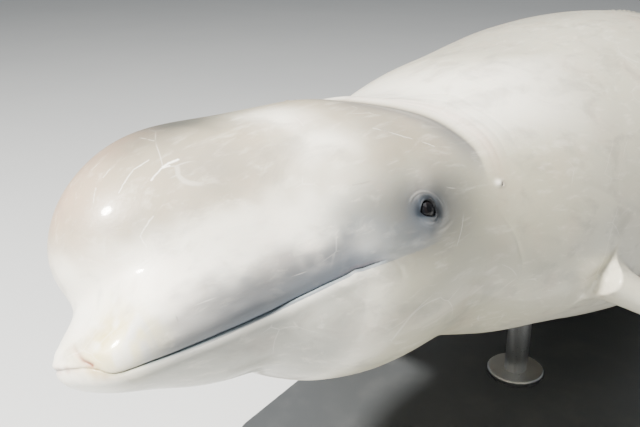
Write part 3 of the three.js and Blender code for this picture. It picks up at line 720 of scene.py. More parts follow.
def neck(p):
    d, angle = nape(p)
    groove = -NAPE_DEPTH * bump(d, np.where(d < 0, 26, 13), 1.5)
    swell = NAPE_SWELL * bump(d - 40, 28) + bump(d + 52, 28)
    ripple = np.zeros(len(p))
    for place, depth in NAPE_RIPPLES:
        ripple -= depth * bump(d - place - 5 * lattice_noise(p / 60, place), 3.2)
    ripple *= rise(angle, 24, 16) * rise(lattice_noise(p / 45, 3), -0.7, 0.9)
    return fade(angle, 56, 28) * (groove + swell + ripple)


def underside(p):
    """Navel and slits on the midline of the belly, and the knobs of the ridge on the back."""
    x, y, z = p.T
    belly = z < -60
    out = -NAVEL_DEPTH * belly * bump(x - NAVEL_X, 13) * bump(y, 6)
    for start, end in SLITS:
        inside = rise(x, start, 14) * smoothstep((end - x) / 14)
        out += belly * inside * (1.6 * bump(np.abs(y) - 9, 5) - SLIT_DEPTH * bump(y, 3.2))
    ridge = (z > 60) * bump(y, 20) * rise(x, RIDGE_START, 120) * smoothstep((RIDGE_END - x) / 120)
    return out + ridge * KNOB_HEIGHT * np.sin(x / KNOB_STEP + 1.8 * lattice_noise(p / 90, 8))


def relief(p):
    """How far the surface stands out from the smooth form, in millimetres."""
    x, y, z = p.T
    side = np.abs(y) > 100
    out = lips(p) + blowhole(p)
    near = (x > 330) & (x < 720)
    out[near] += neck(p[near])
    flat = p[:, (0, 2)]
    for entry in SIDE_FOLDS:
        out += side * fold(flat, *entry)
    for depth, width, *points in FLANK_FOLDS:
        r, t = line_distance(flat, points)
        ends = np.sin(math.pi * np.clip(t, 0.02, 0.98)) ** 0.8
        out += side * ends * (0.45 * depth * bump(r - 1.6 * width, width) - depth * bump(r, width))
    amount, centre, reach = NOSE_FULLNESS
    out += amount * spot(p, centre, reach)
    out += 2.2 * bump(z + 19.5, 3.4) * bump(y - 12, 26) * (x < 30)
    r, t = line_distance(p, SCAR)
    out -= SCAR_DEPTH * bump(r, 1.9) * (0.6 + 0.4 * np.sin(9 * t))
    out += 0.5 * bump(r - 4.5, 2.6)

    # ear openings, each on a low mound
    r = np.hypot(x - EAR_X - 3, z - EAR_Z + 1)
    mound = np.hypot((x - EAR_X + 2) / 1.5, z - EAR_Z - 1)
    out += (side & (x > 500)) * (EAR_MOUND * bump(mound, 5.5) - EAR_DEPTH * bump(r, 2.1))

    # the gentle unevenness of blubber, stronger behind the neck
    body = rise(x, 640, 500)
    out += HEAD_UNEVEN * cloud(p * (0.6, 1, 1), 70, 2, 21) * (1 - body)
    out += body * BODY_UNEVEN * cloud(p * (0.55, 1, 1), 230, 3, 31) * smoothstep((3900 - x) / 500)
    near = (x > 1700) & (x < 2900)
    out[near] += underside(p[near])
    return out


def eye_opening(a, b):
    """Position in the opening's own frame, and how far inside its edge a point lies."""
    a, b = a - EYE_BACK, b - EYE_DOWN
    u = a * math.cos(EYE_TILT) + b * math.sin(EYE_TILT)
    v = b * math.cos(EYE_TILT) - a * math.sin(EYE_TILT)
    t = np.clip(np.abs(u) / (EYE_WIDTH / 2), 0, 1)
    upper = LID_TOP * np.maximum(1 - t ** 2.6, 0) ** 0.66
    lower = LID_BOTTOM * (1 - t ** 3)
    inside = np.where(v > 0, upper - v, lower + v)
    beyond = np.hypot(np.maximum(np.abs(u) - EYE_WIDTH / 2, 0), v)
    inside = np.where(np.abs(u) < EYE_WIDTH / 2, inside, -beyond)
    return u, v, inside


def shape_eyes(p, base):
    """Lids lie over the eyeball and open in a high arch, with creases round them."""
    for centre, axis in EYES.values():
        a, b, h = eye_local(base, centre, axis)
        near = (np.hypot(a, b) < 46) & (h > -6)
        a, b, h = a[near], b[near], h[near]
        rho = np.hypot(a, b)
        u, v, inside = eye_opening(a, b)
        r = EYE_R + LID_THICKNESS
        dome = np.sqrt(np.maximum(r * r - np.minimum(rho, r) ** 2, 0))
        lift = np.log1p(np.exp((dome - h) / 1.5)) * 1.5 * fade(rho, 17, 14)
        rim = 0.35 * bump(inside + 1.4, 1.8) * (np.abs(v) < 18)
        arch = np.hypot(u / 1.2, v) * np.where(v > 0, 1, 1.25)
        above, below = rise(v, 7, 9), rise(-v, 2, 5)
        crease = sum(height * bump(arch - radius, width) * part for height, radius, width, part in (
            (-0.35, 24.5, 1.3, above), (-0.3, 29, 1.6, above), (0.25, 26.8, 1.8, above),
            (-0.35, 15.5, 1.5, below), (-0.25, 21, 1.8, below)))
        socket = -1.6 * bump(rho - 27, 8) * rise(a, -12, 20)
        drop = rise(inside, -0.3, 1.0)
        target = np.sqrt(np.maximum((EYE_R - 3.5) ** 2 - np.minimum(rho, EYE_R - 4) ** 2, 0))
        height = h + lift + rim + crease + socket
        height = height * (1 - drop) + np.minimum(target, height) * drop
        p[near] += (height - h)[:, None] * axis[0]
    return p


shaped = canon + unit(gradient(canon)) * relief(canon)[:, None]
shaped = shape_eyes(shaped, canon)
store(skin.data, posed(shaped))
for polygon in skin.data.polygons:
    polygon.use_smooth = True

attribute = skin.data.attributes.new("canon", "FLOAT_VECTOR", "POINT")
attribute.data.foreach_set("vector", (canon * MM).astype(np.float32).ravel())


# Pigment, with painted shade and painted highlights, point by point on the straight whale.
def tone(*channels):
    """A colour given in screen values from 0 to 255, as linear light."""
    c = np.array(channels) / 255.0
    return np.where(c <= 0.04045, c / 12.92, ((c + 0.055) / 1.055) ** 2.4)


CREAM = tone(179, 175, 154)
MELON = tone(152, 142, 122)
PALE = tone(248, 245, 234)
GREY = tone(120, 117, 110)
LILAC = tone(98, 99, 108)
SLATE = tone(20, 26, 30)
INK = tone(14, 15, 17)
BLUE_GREY_AND_SHADE = tone(84, 96, 112)
BLUSH = tone(188, 142, 124)
BUTTER = tone(208, 194, 122)
OPENING_SHADE = tone(92, 104, 110)
FLESH = tone(150, 82, 68)
RUST = tone(110, 66, 50)
FIN_EDGE = tone(92, 90, 86)


class Paint:
    """Colours laid over one another on the points of the skin."""

    def __init__(self, count, base):
        self.rgb = np.repeat(base[None], count, 0)

    def over(self, colour, amount):
        a = np.clip(amount, 0, 1)[:, None]
        self.rgb = self.rgb * (1 - a) + colour * a

    def spots(self, p, colour, *rows):
        """Soft spots, each with its strength, its centre and its reach along the axes."""
        for amount, centre, reach in rows:
            self.over(colour, amount * spot(p, centre, reach))

    def shade(self, stops, *tinge):
        """Painted shade: darkens by photographic stops; the tinge deepens with each stop."""
        self.rgb = self.rgb * (0.5 * np.array(tinge)) ** np.clip(stops, 0, 6)[:, None]


def paint_head(paint, p, q):
    """The soft melon is a greyer beige than the jaws below it, with a pale ridge partly painted light and
    painted shade with a blue-green painted reflection over its top. q is p, moved by the clouds.
    """
    x = p[:, 0]
    ridge_line = 46 + 10 * rise(q[:, 0], 60, 60)
    paint.over(MELON, 0.85 * smoothstep((q[:, 2] - ridge_line) / 46) * fade(x, 420, 160))
    paint.over(PALE, 0.9 * smoothstep((ridge_line + 12 - q[:, 2]) / 40) * fade(x, 250, 120))
    # a pale band along the ridge: partly paler skin, partly painted light where the ridge faces the light
    paint.over(PALE, 0.75 * bump(q[:, 2] - ridge_line - 4, 34) * fade(x, 260, 140) * (x < 480))
    paint.spots(q, GREY,
                (0.75, (215, -30, 205), (70, 40, 40)), (0.45, (190, -95, 135), (55, 40, 28)),
                (0.5, (150, 60, 175), (45, 40, 40)), (0.4, (415, -165, 130), (40, 40, 30)),
                (0.3, (120, -40, 95), (34, 40, 22)), (0.4, (260, 90, 150), (60, 40, 40)))
    paint.spots(q, PALE,
                (0.7, (325, -95, 178), (40, 50, 26)), (0.7, (325, -148, 128), (55, 40, 30)),
                (0.5, (320, 100, 170), (50, 50, 40)))
    # painted shade over the top of the melon, with the blue-green tinge of a painted reflection
    crown_shade = 1.7 * spot(q, (222, -22, 203), (80, 46, 32)) + 0.6 * spot(q, (130, 8, 190), (50, 40, 30))
    paint.shade(crown_shade, 0.94, 1.0, 1.02)
    paint.spots(q, BLUSH, (0.30, (75, 30, 140), (60, 60, 55)), (0.18, (140, 40, 195), (70, 60, 30)))


def paint_neck(paint, p):
    """Nape and neck: lilac, partly painted shade, and painted shade before and in the crease, and a paler
    neck behind it that is partly painted light.
    """
    x = p[:, 0]
    d, angle = nape(p)
    around = rise(angle, 18, 25) * fade(angle, 66, 24)
    # paler behind the crease: partly the cream skin, partly painted light where the neck rises into the
    # light
    paint.over(PALE, 0.75 * rise(d, -2, 22) * fade(d, 120, 240) * fade(angle, 52, 26))
    # lilac before the crease: partly the skin's grey-lilac, partly painted shade where the head turns away
    # from the light
    before = bump(np.minimum(d, 0), 62) * smoothstep((5 - d) / 8) * rise(x, 350, 50)
    paint.over(LILAC, (0.36 + 0.30 * around) * fade(angle, 64, 26) * before)
    paint.over(BLUSH, 0.25 * bump(d - 26, 16) * around * (x > 380))
    # painted shade in the crease and in a broad band just before it
    crease = rise(angle, 12, 12) * fade(angle, 56, 22) * (x > 380)
    paint.shade(crease * (0.55 * bump(d + 1, 6) + 0.35 * bump(d + 16, 22)), 0.98, 0.99, 1.02)


def paint_eyes(paint, p):
    """A dark rim, a slate ring and lilac round each eye, with painted shade over the cheeks, at the rim and
    in the hollow behind the eye, and faint painted highlights on the folds above and below it.
    """
    x, y, z = p.T
    flat = p * (1, 0, 1)
    wobble = 1 + 0.16 * lattice_noise(p / 12, 51)
    for centre, axis in EYES.values():
        a, b, h = eye_local(p, centre, axis)
        u, v, inside = eye_opening(a, b)
        rho = np.hypot(a, b)
        near = fade(rho, 80, 75) * (h > -60)
        wide = fade(rho, 105, 85) * (h > -90)
        below = 1 - 0.75 * rise(-v, 4, 3)
        paint.over(LILAC, near * 0.72 * bump(np.hypot((a - 2) / 82, (b - 2) / 52), 1))
        paint.over(LILAC, near * 0.35 * bump(np.hypot((a + 4) / 34, (b - 2) / 28), 1))
        paint.over(BLUE_GREY_AND_SHADE, near * 0.8 * bump(np.hypot((u + 1) / 26, (v - 2) / 20) * wobble, 1, 2.4))
        paint.over(SLATE, near * 0.95 * below * bump(np.maximum(-inside - 0.8, 0) * wobble, 5.2, 1.25))
        paint.over(INK, near * smoothstep((inside + 1.6 * below) / 1.4))
        # a faint painted highlight along the fold above the eye
        paint.over(PALE, near * 0.10 * bump(np.hypot(u / 1.2, v) - 26.6, 1.4) * rise(v, 8, 6))
        # painted shade over the cheeks round the eye, weaker under the brow, on the lower lid and at the
        # gape, with more in a spot ahead of the eye
        brow = bump(u + 2, 24) * rise(v, 10, 10) * fade(v, 52, 20)
        lid = bump(v + 12, 5) * bump(u, 14)
        gape = spot(flat, (292, 0, -8), (40, 1, 24))
        cheek_shade = bump(((x - 375) / 126) ** 2 + ((z - 16) / 58) ** 2, 1, 1.3)
        cheek_shade = cheek_shade * (1 - 0.75 * brow) * (1 - 0.6 * lid) * (1 - 0.8 * gape)
        cheek_shade += 0.5 * spot(flat, (298, 0, 42), (44, 1, 20))
        paint.shade(wide * 1.4 * cheek_shade, 0.975, 1.0, 1.03)
        # a faint painted highlight on the lower lid, where the painted shade over the cheeks is also weaker
        paint.over(PALE, near * 0.07 * lid)
        # painted shade round the rim of the opening, weaker below it, and in the hollow behind the eye, over
        # the dark pigment of the rim
        ring = 3.2 * below * bump(np.maximum(-inside, 0), 6.0, 1.4)
        behind = 0.8 * bump(a - 24, 17) * bump(b - 8, 19)
        paint.shade(near * (ring + behind), 0.96, 0.995, 1.03)


def paint_mouth(paint, p, q):
    """Blue lips in streaks that are partly painted shade, painted shade along the mouth, on the flank above
    it and on the lower jaw, painted shade in the mouth's gap, a yellowish film and the scar beside the tip.
    """
    x, y, z = p.T
    m = mouth_distance(p)
    reach = smoothstep((GAPE[0] + 14 - x) / 30)
    streak = m + 14 * lattice_noise(p * (0.35, 1, 1) / 26, 63) + 7 * lattice_noise(p * (0.4, 1, 1) / 9, 64)
    # blue-grey in streaks on the flank above the mouth: partly the lips' colour, partly painted shade where
    # the flank turns down
    flank = rise(x, 30, 150) * (1 - 0.45 * rise(x, 290, 60)) * fade(x, 370, 60) * (m > -3) * (z < 90)
    paint.over(BLUE_GREY_AND_SHADE, 0.70 * flank * smoothstep((82 - streak) / 72))
    # painted shade low on the flank above the mouth
    side = rise(x, 30, 65) * fade(x, 268, 50) * (z < 90)
    paint.shade(1.6 * side * rise(m, -4, 6) * smoothstep((74 - streak) / 58), 0.98, 0.99, 1.03)
    # painted shade on the lower jaw, below the mouth's line
    paint.shade(1.1 * rise(x, 2, 55) * fade(x, 268, 50) * rise(-m, 1, 12), 0.98, 1.0, 0.99)
    # painted shade in two spots on the left side, low on the flank: ahead of the mouth's corner and near its
    # front
    corners = 0.4 * spot(p, (240, -140, -4), (30, 50, 24)) + 0.9 * spot(p, (58, -82, -14), (34, 30, 20))
    paint.shade(corners, 0.97, 0.99, 1.04)
    # blue-grey along both sides of the mouth's line: partly the lips' colour, partly painted shade under the
    # roll of the upper lip
    upper = (m > 0) * reach * (0.35 + 0.65 * rise(x, 40, 170)) * rise(x, 10, 20)
    paint.over(BLUE_GREY_AND_SHADE, 0.8 * upper * bump(np.maximum(m, 0), 13, 1.4))
    paint.over(BLUE_GREY_AND_SHADE, (m <= 0) * reach * 0.45 * np.exp(m / 6) * rise(x, 20, 40))
    front = fade(x, 8, 22)
    paint.over(FLESH, front * reach * 0.65 * bump(m, 4.5) * (0.6 + 0.4 * lattice_noise(p / 7, 61)))
    # the mouth's dark line: painted shade in the gap between the lips
    paint.over(OPENING_SHADE, reach * (1 - 0.55 * front) * bump(m, 1.5))
    paint.over(FLESH, reach * 0.12 * bump(m - 3, 3) * bump(x - 300, 30))
    film = rise(lattice_noise(p * (1, 1, 0.35) / 8, 71), -0.9, 1.1)
    paint.over(BUTTER, 0.85 * spot(q, (40, -60, 0), (34, 30, 26)) * film)
    paint.over(BUTTER, 0.6 * spot(q, (22, -26, -10), (20, 38, 15)))
    r, t = line_distance(p, SCAR)
    paint.over(FLESH, 0.7 * bump(r, 3.6) * (0.4 + 0.6 * t))
    paint.over(RUST, 0.8 * bump(r, 1.7) * rise(t, 0.35, 0.4))


def paint_openings(paint, p):
    """Grey round the blowhole, painted shade down in it and in each ear pit, and a painted highlight on the
    front of each ear's mound.
    """
    x, y, z = p.T
    paint.over(GREY, 0.55 * (z > 80) * bump(((x - BLOWHOLE_X + 7) / 17) ** 2 + (y / 34) ** 2, 1))
    # painted shade down in the blowhole's cut, darker where it is deeper
    depth = np.maximum(-blowhole(p), 0) * (x > 380) * (x < 470)
    paint.over(OPENING_SHADE, rise(depth, 2.5, 4))
    side = np.abs(y) > 150
    # painted shade in each ear pit, and a painted highlight on the front of its mound
    paint.over(LILAC, side * 0.7 * bump(np.hypot(x - EAR_X - 3, z - EAR_Z + 1), 3.4))
    paint.over(PALE, side * 0.7 * bump(np.hypot((x - EAR_X + 5) / 1.6, z - EAR_Z - 2), 4.5))


def paint_body(paint, p):
    """Greyer along the ridge and the tail, with dark worn edges on the fins."""
    x, y, z = p.T
    body = rise(x, 700, 500)
    paint.over(PALE, 0.18 * rise(x, 640, 200))
    paint.over(GREY, body * 0.42 * bump(y, 60) * (z > 0) * rise(x, 1500, 500))
    paint.over(GREY, body * 0.22 * smoothstep(cloud(p * (0.5, 1, 1), 190, 3, 81) / 0.8))
    paint.over(BLUSH, body * 0.16 * smoothstep(cloud(p * (0.5, 1, 1), 260, 3, 91) / 0.9))
    paint.over(PALE, body * 0.35 * rise(-z, 120, 160))
    paint.over(GREY, 0.5 * rise(x, 3300, 500))
    s = np.abs(y)
    lead, trail = (np.interp(s, FLUKE[:, 0], FLUKE[:, i]) for i in (1, 2))
    ragged = 1 + 0.4 * lattice_noise(p / 22, 95)
    fluke = rise(x, 3640, 60) * rise(s, 60, 30)
    paint.over(FIN_EDGE, fluke * 0.85 * bump(np.maximum(trail - x, 0), 16 * ragged, 1.5))
    paint.over(FIN_EDGE, fluke * 0.35 * bump(x - lead, 9 * ragged, 1.5))
    s, c, v = flipper_local(p)
    behind = fin_profile(FLIPPER, s, 1) / 2 + fin_profile(FLIPPER, s, 3) - c
    fin = (x > 800) & (x < 1600) & (np.abs(y) > 200) & (np.abs(v) < 60) & (s > 90)
    paint.over(FIN_EDGE, fin * 0.75 * bump(np.maximum(behind, 0), 13 * ragged, 1.5))
    paint.over(FIN_EDGE, fin * 0.5 * rise(s, 425, 45))


def pigment_and_painted_light(p):
    warp = np.stack([cloud(p, 55, 3, 41 + k) for k in range(3)], 1)
    q = p + warp * 14
    paint = Paint(len(p), CREAM)
    paint_head(paint, p, q)
    paint_neck(paint, p)
    paint_eyes(paint, p)
    paint_mouth(paint, p, q)
    paint_openings(paint, p)
    paint_body(paint, p)
    return paint.rgb


rgba_points = np.concatenate([pigment_and_painted_light(canon), np.ones((len(canon), 1))], 1)
attribute = skin.data.attributes.new("tint", "FLOAT_COLOR", "POINT")
attribute.data.foreach_set("color", rgba_points.astype(np.float32).ravel())


# Materials.
def rgba(*channels):
    """A colour given in screen values, as a shader takes it."""
    return tuple(float(c) for c in tone(*channels)) + (1.0,)


class Nodes:
    """Adds nodes to a tree and hands back their outputs."""

    def __init__(self, tree):
        self.tree = tree

    def feed(self, n, inputs):
        """Links each input to an output, or sets it to a plain value."""
        for key, value in inputs.items():
            if isinstance(value, bpy.types.NodeSocket):
                self.tree.links.new(value, n.inputs[key])
            else:
                n.inputs[key].default_value = value

    def node(self, kind, inputs={}, **values):
        n = self.tree.nodes.new("ShaderNode" + kind)
        for key, value in values.items():
            setattr(n, key, value)
        self.feed(n, inputs)
        return n

    def math(self, operation, a, b=0.0, c=0.0, clamp=False):
        return self.node("Math", {0: a, 1: b, 2: c}, operation=operation, use_clamp=clamp).outputs[0]

    def times(self, product, *factors):
        for factor in factors:
            product = self.math("MULTIPLY", product, factor)
        return product

    def vector(self, operation, a, b=(0, 0, 0), output="Vector"):
        return self.node("VectorMath", {0: a, 1: b}, operation=operation).outputs[output]

    def ramp(self, value, low, high, start=0.0, end=1.0):
        """start at low, end at high, smooth between."""
        span = {"Value": value, "From Min": low, "From Max": high, "To Min": start, "To Max": end}
        return self.node("MapRange", span, interpolation_type="SMOOTHSTEP").outputs["Result"]

    def noise(self, at, scale, detail=2.0, rough=0.5, stretch=None, distortion=0.0, output="Fac"):
        if stretch:
            at = self.vector("MULTIPLY", at, stretch)
        look = {"Vector": at, "Scale": scale, "Detail": detail, "Roughness": rough, "Distortion": distortion}
        return self.node("TexNoise", look).outputs[output]

    def mix(self, amount, a, b):
        return self.node("Mix", {0: amount, 6: a, 7: b}, data_type="RGBA").outputs[2]

    def bumps(self, height, strength, distance):
        look = {"Height": height, "Strength": strength, "Distance": distance}
        return self.node("Bump", look).outputs["Normal"]


class Finish(Nodes):
    """A material with one shader; at is the point in the object's own space, or on the straight whale."""

    def __init__(self, name, on_skin=False):
        self.material = bpy.data.materials.new(name)
        self.material.use_nodes = True
        super().__init__(self.material.node_tree)
        self.tree.nodes.clear()
        self.shader = self.node("BsdfPrincipled")
        self.node("OutputMaterial", {"Surface": self.shader.outputs["BSDF"]})
        if on_skin:
            self.at = self.node("Attribute", attribute_name="canon").outputs["Vector"]
        else:
            self.at = self.node("TexCoord").outputs["Object"]

    def made(self, **inputs):
        """Sets the shader's inputs, named with _ for a space, and gives the material."""
        self.feed(self.shader, {key.replace("_", " "): value for key, value in inputs.items()})
        return self.material


def segment_group():
    """Mask of a short scratch from A to B, with soft edges and thin ends."""
    tree = bpy.data.node_groups.new("scratch", "ShaderNodeTree")
    for name, kind in (("Point", "Vector"), ("A", "Vector"), ("B", "Vector"), ("Width", "Float")):
        tree.interface.new_socket(name, in_out="INPUT", socket_type="NodeSocket" + kind)
    tree.interface.new_socket("Mask", in_out="OUTPUT", socket_type="NodeSocketFloat")
    n = Nodes(tree)
    start = tree.nodes.new("NodeGroupInput").outputs
    pa = n.vector("SUBTRACT", start["Point"], start["A"])
    ab = n.vector("SUBTRACT", start["B"], start["A"])
    along = n.vector("DOT_PRODUCT", pa, ab, "Value")
    length = n.vector("DOT_PRODUCT", ab, ab, "Value")
    t = n.math("DIVIDE", along, length, clamp=True)
    scaled = n.node("VectorMath", {0: ab, "Scale": t}, operation="SCALE").outputs["Vector"]
    distance = n.vector("LENGTH", n.vector("SUBTRACT", pa, scaled), output="Value")
    mask = n.ramp(distance, 0.0, start["Width"], 1.0, 0.0)
    tree.links.new(mask, tree.nodes.new("NodeGroupOutput").inputs["Mask"])
    return tree


# Scratches in millimetres on the straight whale: strength, half width, then the points of the line.
PALE_MARKS = (
    (0.55, 1.3, (145, -47, 164), (135, -44, 161), (126, -41, 158), (112, -40, 148), (101, -39, 138)),
    (1.0, 2.6, (168, -68, 155), (158, -64, 154), (150, -62, 152)),
    (0.9, 1.7, (156, -66, 151), (148, -61, 151), (140, -60, 146), (132, -59, 141)),
    (0.45, 1.3, (114, -67, 103), (109, -65, 99), (104, -62, 94), (97, -58, 87), (99, -61, 74)),
    (0.35, 1.1, (114, 1, 177), (104, 4, 172)), (0.35, 1.1, (112, -19, 166), (101, -18, 159)),
    (0.35, 1.1, (90, -16, 150), (79, -19, 136)), (0.3, 1.1, (170, -33, 185), (166, -14, 194)),
    (0.5, 1.3, (405, -160, 129), (421, -170, 120), (437, -177, 109), (459, -185, 98), (480, -190, 85)),
    (0.4, 1.2, (459, -185, 98), (467, -184, 103)), (0.4, 1.2, (437, -177, 109), (440, -181, 100)),
    (0.4, 1.2, (428, -119, 164), (428, -126, 160)),
    (0.3, 1.4, (60, -80, 12), (54, -75, 20), (44, -66, 26)), (0.3, 1.2, (52, -79, 2), (42, -70, 6)),
)
DARK_MARKS = (
    (0.5, 1.4, (87, -94, 4), (86, -93, -8)),
    (0.45, 1.4, (4, -34, -13), (10, -28, -2), (13, -22, 6)),
    (0.3, 1.6, (318, -175, 71), (330, -180, 69), (341, -183, 69)),
)


def marks(n, at, rows, group):
    total = None
    for strength, width, *points in rows:
        line = None
        for a, b in zip(points, points[1:]):
            ends = {"Point": at, "A": [v * MM for v in a], "B": [v * MM for v in b], "Width": width * MM}
            piece = n.node("Group", ends, node_tree=group).outputs[0]
            line = piece if line is None else n.math("MAXIMUM", line, piece)
        line = n.times(line, strength)
        total = line if total is None else n.math("MAXIMUM", total, line)
    return total


def skin_finish():
    n = Finish("skin", on_skin=True)
    tint = n.node("Attribute", attribute_name="tint").outputs["Color"]

    # clouds, streaks that run along the animal, warm patches and flecks; none of them in the dark parts
    cloudy = n.noise(n.at, 22, 5, 0.6, (0.55, 1, 1), 0.6)
    streaks = n.noise(n.at, 70, 4, 0.6, (0.22, 1, 1), 0.4)
    patches = n.noise(n.at, 13, 3, 0.55)
    speckle = n.noise(n.at, 420, 3, 0.6)
    light_parts = n.ramp(n.node("SeparateColor", {"Color": tint}).outputs["Green"], 0.03, 0.40)
    colour = tint
    for pattern, low, high, strength, second in (
            (cloudy, 0.48, 0.72, 0.34, (122, 118, 112)), (streaks, 0.52, 0.74, 0.30, (236, 231, 218)),
            (patches, 0.5, 0.7, 0.07, (196, 150, 130)), (speckle, 0.60, 0.72, 0.10, (150, 146, 140))):
        amount = n.times(n.ramp(pattern, low, high), strength, light_parts)
        colour = n.mix(amount, colour, rgba(*second))

    # old hairline scratches, broken up so that only lengths of them show
    sway = n.vector("MULTIPLY", n.noise(n.at, 9.0, 1.0, output="Color"), (0.05, 0.05, 0.05))
    swayed = n.vector("MULTIPLY", n.vector("ADD", n.at, sway), (5, 8, 8))
    cells = n.node("TexVoronoi", {"Vector": swayed, "Scale": 1.6}, feature="DISTANCE_TO_EDGE")
    broken = n.ramp(n.noise(n.at, 11, 2, 0.5), 0.56, 0.64)
    hair = n.times(n.ramp(cells.outputs["Distance"], 0.012, 0.003), broken, 0.22)
    colour = n.mix(hair, colour, rgba(246, 243, 236))

    group = segment_group()
    wobble = n.vector("SUBTRACT", n.noise(n.at, 160.0, 1.0, output="Color"), (0.5, 0.5, 0.5))
    shaky = n.vector("ADD", n.at, n.vector("MULTIPLY", wobble, (0.0022, 0.0022, 0.0022)))
    white = marks(n, shaky, PALE_MARKS, group)
    colour = n.mix(white, colour, rgba(250, 248, 240))
    colour = n.mix(marks(n, shaky, DARK_MARKS, group), colour, rgba(96, 92, 88))

    pores = n.noise(n.at, 900, 2, 0.6)
    grain = n.noise(n.at, 260, 3, 0.6, (0.35, 1, 1))
    height = n.math("ADD", n.times(pores, 0.25), n.times(grain, 0.75))
    height = n.math("SUBTRACT", height, n.times(hair, 0.9))
    height = n.math("ADD", height, n.times(white, 0.5))
    return n.made(Base_Color=colour,
                  Roughness=n.math("ADD", n.math("MULTIPLY_ADD", cloudy, 0.22, 0.30), n.times(white, 0.12)),
                  Normal=n.bumps(height, 0.35, 0.0009), Specular_IOR_Level=0.42,
                  Subsurface_Weight=0.08, Subsurface_Radius=(1.0, 0.55, 0.4), Subsurface_Scale=0.002,
                  Coat_Weight=0.35, Coat_Roughness=0.09, Coat_IOR=1.34)


def eye_finish(name, centre, axis):
    """Dark wet eye: a wide pupil in a nearly black iris, and a smoky rim."""
    n = Finish(name)
    away = n.vector("NORMALIZE", n.vector("SUBTRACT", n.at, tuple(float(v) for v in centre)))
    front = n.vector("DOT_PRODUCT", away, tuple(float(v) for v in axis), "Value")
    fibre = n.noise(n.at, 900, 3, 0.6)
    edge = n.math("MULTIPLY_ADD", fibre, 0.02, front)
    colour = n.mix(n.ramp(edge, 0.80, 0.86), rgba(12, 13, 17), rgba(17, 14, 15))
    colour = n.mix(n.times(fibre, 0.5), colour, rgba(8, 8, 10))
    colour = n.mix(n.ramp(edge, 0.925, 0.945), colour, rgba(6, 6, 8))
    return n.made(Base_Color=colour, Roughness=n.math("MULTIPLY_ADD", fibre, 0.1, 0.18),
                  Specular_IOR_Level=0.15, Coat_Weight=0.5, Coat_Roughness=0.03, Coat_IOR=1.38)


def steel_finish():
    n = Finish("rod_steel")
    lines = n.noise(n.at, 60, 4, 0.7, (1, 1, 14))
    colour = n.mix(n.noise(n.at, 14, 3, 0.5), rgba(176, 178, 180), rgba(200, 200, 198))
    return n.made(Base_Color=colour, Roughness=n.math("MULTIPLY_ADD", lines, 0.22, 0.2),
                  Normal=n.bumps(lines, 0.25, 0.0004), Metallic=1.0)


def paint_finish(low, high):
    """Matte paint with a fine stipple, a little dust, and edges rubbed lighter."""
    n = Finish("base_paint")
    low, high = ([float(v) for v in corner] for corner in (low, high))
    stipple = n.noise(n.at, 520, 3, 0.6)
    cloudy = n.noise(n.at, 7, 4, 0.6)
    parts = n.node("SeparateXYZ", {"Vector": n.at}).outputs
    dust = n.times(n.ramp(cloudy, 0.42, 0.75), 0.16)
    colour = n.mix(dust, rgba(62, 65, 68), rgba(120, 121, 120))
    colour = n.mix(n.times(stipple, 0.2), colour, rgba(44, 46, 49))

    def rim(value, reach):
        return n.ramp(value, reach - 0.006, reach - 0.001)

    sides = []
    for axis in (0, 1):
        out = n.math("ABSOLUTE", n.math("SUBTRACT", parts[axis], (low[axis] + high[axis]) / 2))
        sides.append(rim(out, (high[axis] - low[axis]) / 2))
    edge = n.times(n.math("MAXIMUM", *sides), rim(parts[2], high[2]))
    worn = n.times(edge, n.ramp(n.noise(n.at, 90, 3, 0.7), 0.45, 0.6), 0.7)
    colour = n.mix(worn, colour, rgba(132, 134, 136))
    return n.made(Base_Color=colour, Roughness=n.math("MULTIPLY_ADD", cloudy, 0.2, 0.5),
                  Normal=n.bumps(stipple, 0.3, 0.0006))


def floor_finish():
    n = Finish("floor")
    colour = n.mix(n.noise(n.at, 1.3, 5, 0.6), rgba(196, 199, 201), rgba(206, 208, 209))
    return n.made(Base_Color=colour, Roughness=0.75)


def dress(name, finish):
    """Gives a node of the frame its finish."""
    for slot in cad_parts[name].material_slots:
        slot.material = finish


skin.data.materials.append(skin_finish())
for name, (centre, axis) in EYES.items():
    ends = posed(np.concatenate([centre, centre + axis * 10]))
    dress("eye_" + name, eye_finish("eye_" + name, ends[0], unit(ends[1] - ends[0])))
steel = steel_finish()
for name in ("stand_rod_front", "stand_rod_rear"):
    dress(name, steel)
dress("stand_base", paint_finish(*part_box("stand_base")))

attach(skin, "root")
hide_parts(*[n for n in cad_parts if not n.startswith(("stand_", "eye_"))])


# Floor, lights and camera.
PICTURE_WIDTH, PICTURE_HEIGHT = 640, 427
SENSOR = 36
SUN_FROM = np.array([-0.63, -0.29, 0.72])
SUN_DISTANCE, SUN_SIZE, SUN_POWER, SUN_COLOUR = 4.0, 0.5, 980, (1.0, 0.955, 0.88)
SKY_FROM, SKY_TOWARD = (0.8, -0.2, 4.0), (0.8, 0, 0)
SKY_SIZE, SKY_POWER, SKY_COLOUR = 4.5, 150, (0.95, 0.98, 1.0)
ROOM_COLOUR, ROOM_STRENGTH = (0.83, 0.87, 0.90, 1), 0.32
FLOOR_HALF = 30


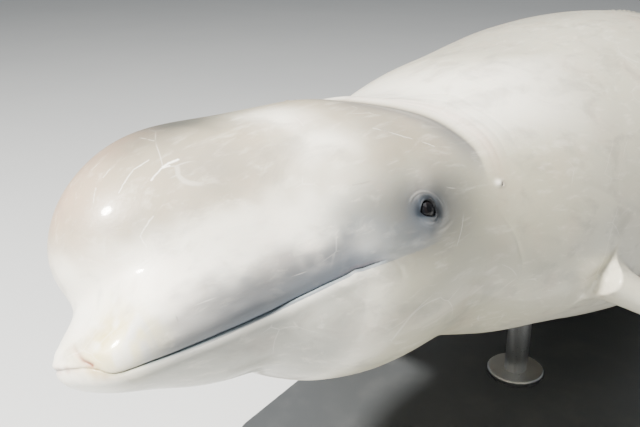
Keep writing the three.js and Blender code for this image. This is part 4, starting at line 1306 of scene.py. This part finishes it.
def view_camera():
    a, e, r = (math.radians(VIEW[k]) for k in ("az", "el", "roll"))
    back = np.array([math.sin(a) * math.cos(e), -math.cos(a) * math.cos(e), math.sin(e)])
    right = unit(np.cross([0, 0, 1.0], back))
    up = np.cross(back, right)
    right, up = right * math.cos(r) + up * math.sin(r), up * math.cos(r) - right * math.sin(r)
    place = LOOK + back * VIEW["d"]
    u, v = VIEW["u"] - PICTURE_WIDTH / 2, VIEW["v"] - PICTURE_HEIGHT / 2
    toward = unit(np.array([u / VIEW["f"], -v / VIEW["f"], -1.0]))
    axis = np.cross([0, 0, -1.0], toward)
    k = np.array([[0, -axis[2], axis[1]], [axis[2], 0, -axis[0]], [-axis[1], axis[0], 0]])
    turn = np.eye(3) + k + k @ k / (1 - toward[2])
    return place, turn @ np.array([right, up, back])


def add_camera():
    place, rows = view_camera()
    data = bpy.data.cameras.new("camera")
    data.sensor_width = SENSOR
    data.lens = VIEW["f"] / PICTURE_WIDTH * SENSOR
    data.clip_start, data.clip_end = 0.02, 60
    camera = add_object("camera", data)
    world = Matrix((ROOM @ rows.T).tolist()).to_4x4()
    world.translation = Vector(ROOM @ place + OFFSET * MM)
    camera.matrix_world = world
    bpy.context.scene.camera = camera


def add_light(name, place, target, size, power, colour):
    data = bpy.data.lights.new(name, "AREA")
    data.shape = "DISK"
    data.size = size
    data.energy = power
    data.color = colour
    lamp = add_object(name, data)
    lamp.location = place
    lamp.rotation_euler = (target - place).to_track_quat("-Z", "Y").to_euler()


add_camera()
head = Vector(posed(np.array([[200.0, 0, 0]]))[0])
sun = Vector(ROOM @ unit(SUN_FROM))
add_light("key", head + sun * SUN_DISTANCE, head, SUN_SIZE, SUN_POWER, SUN_COLOUR)
add_light("sky", head + Vector(SKY_FROM), head + Vector(SKY_TOWARD), SKY_SIZE, SKY_POWER, SKY_COLOUR)

world = bpy.data.worlds.new("studio")
bpy.context.scene.world = world
world.use_nodes = True
background = world.node_tree.nodes["Background"].inputs
background["Color"].default_value = ROOM_COLOUR
background["Strength"].default_value = ROOM_STRENGTH

floor_mesh = bpy.data.meshes.new("floor")
corners = [(x * FLOOR_HALF, y * FLOOR_HALF, 0) for x, y in ((-1, -1), (1, -1), (1, 1), (-1, 1))]
floor_mesh.from_pydata(corners, [], [(0, 1, 2, 3)])
floor_mesh.materials.append(floor_finish())
floor = add_object("floor", floor_mesh)
floor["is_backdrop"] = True

low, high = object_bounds()
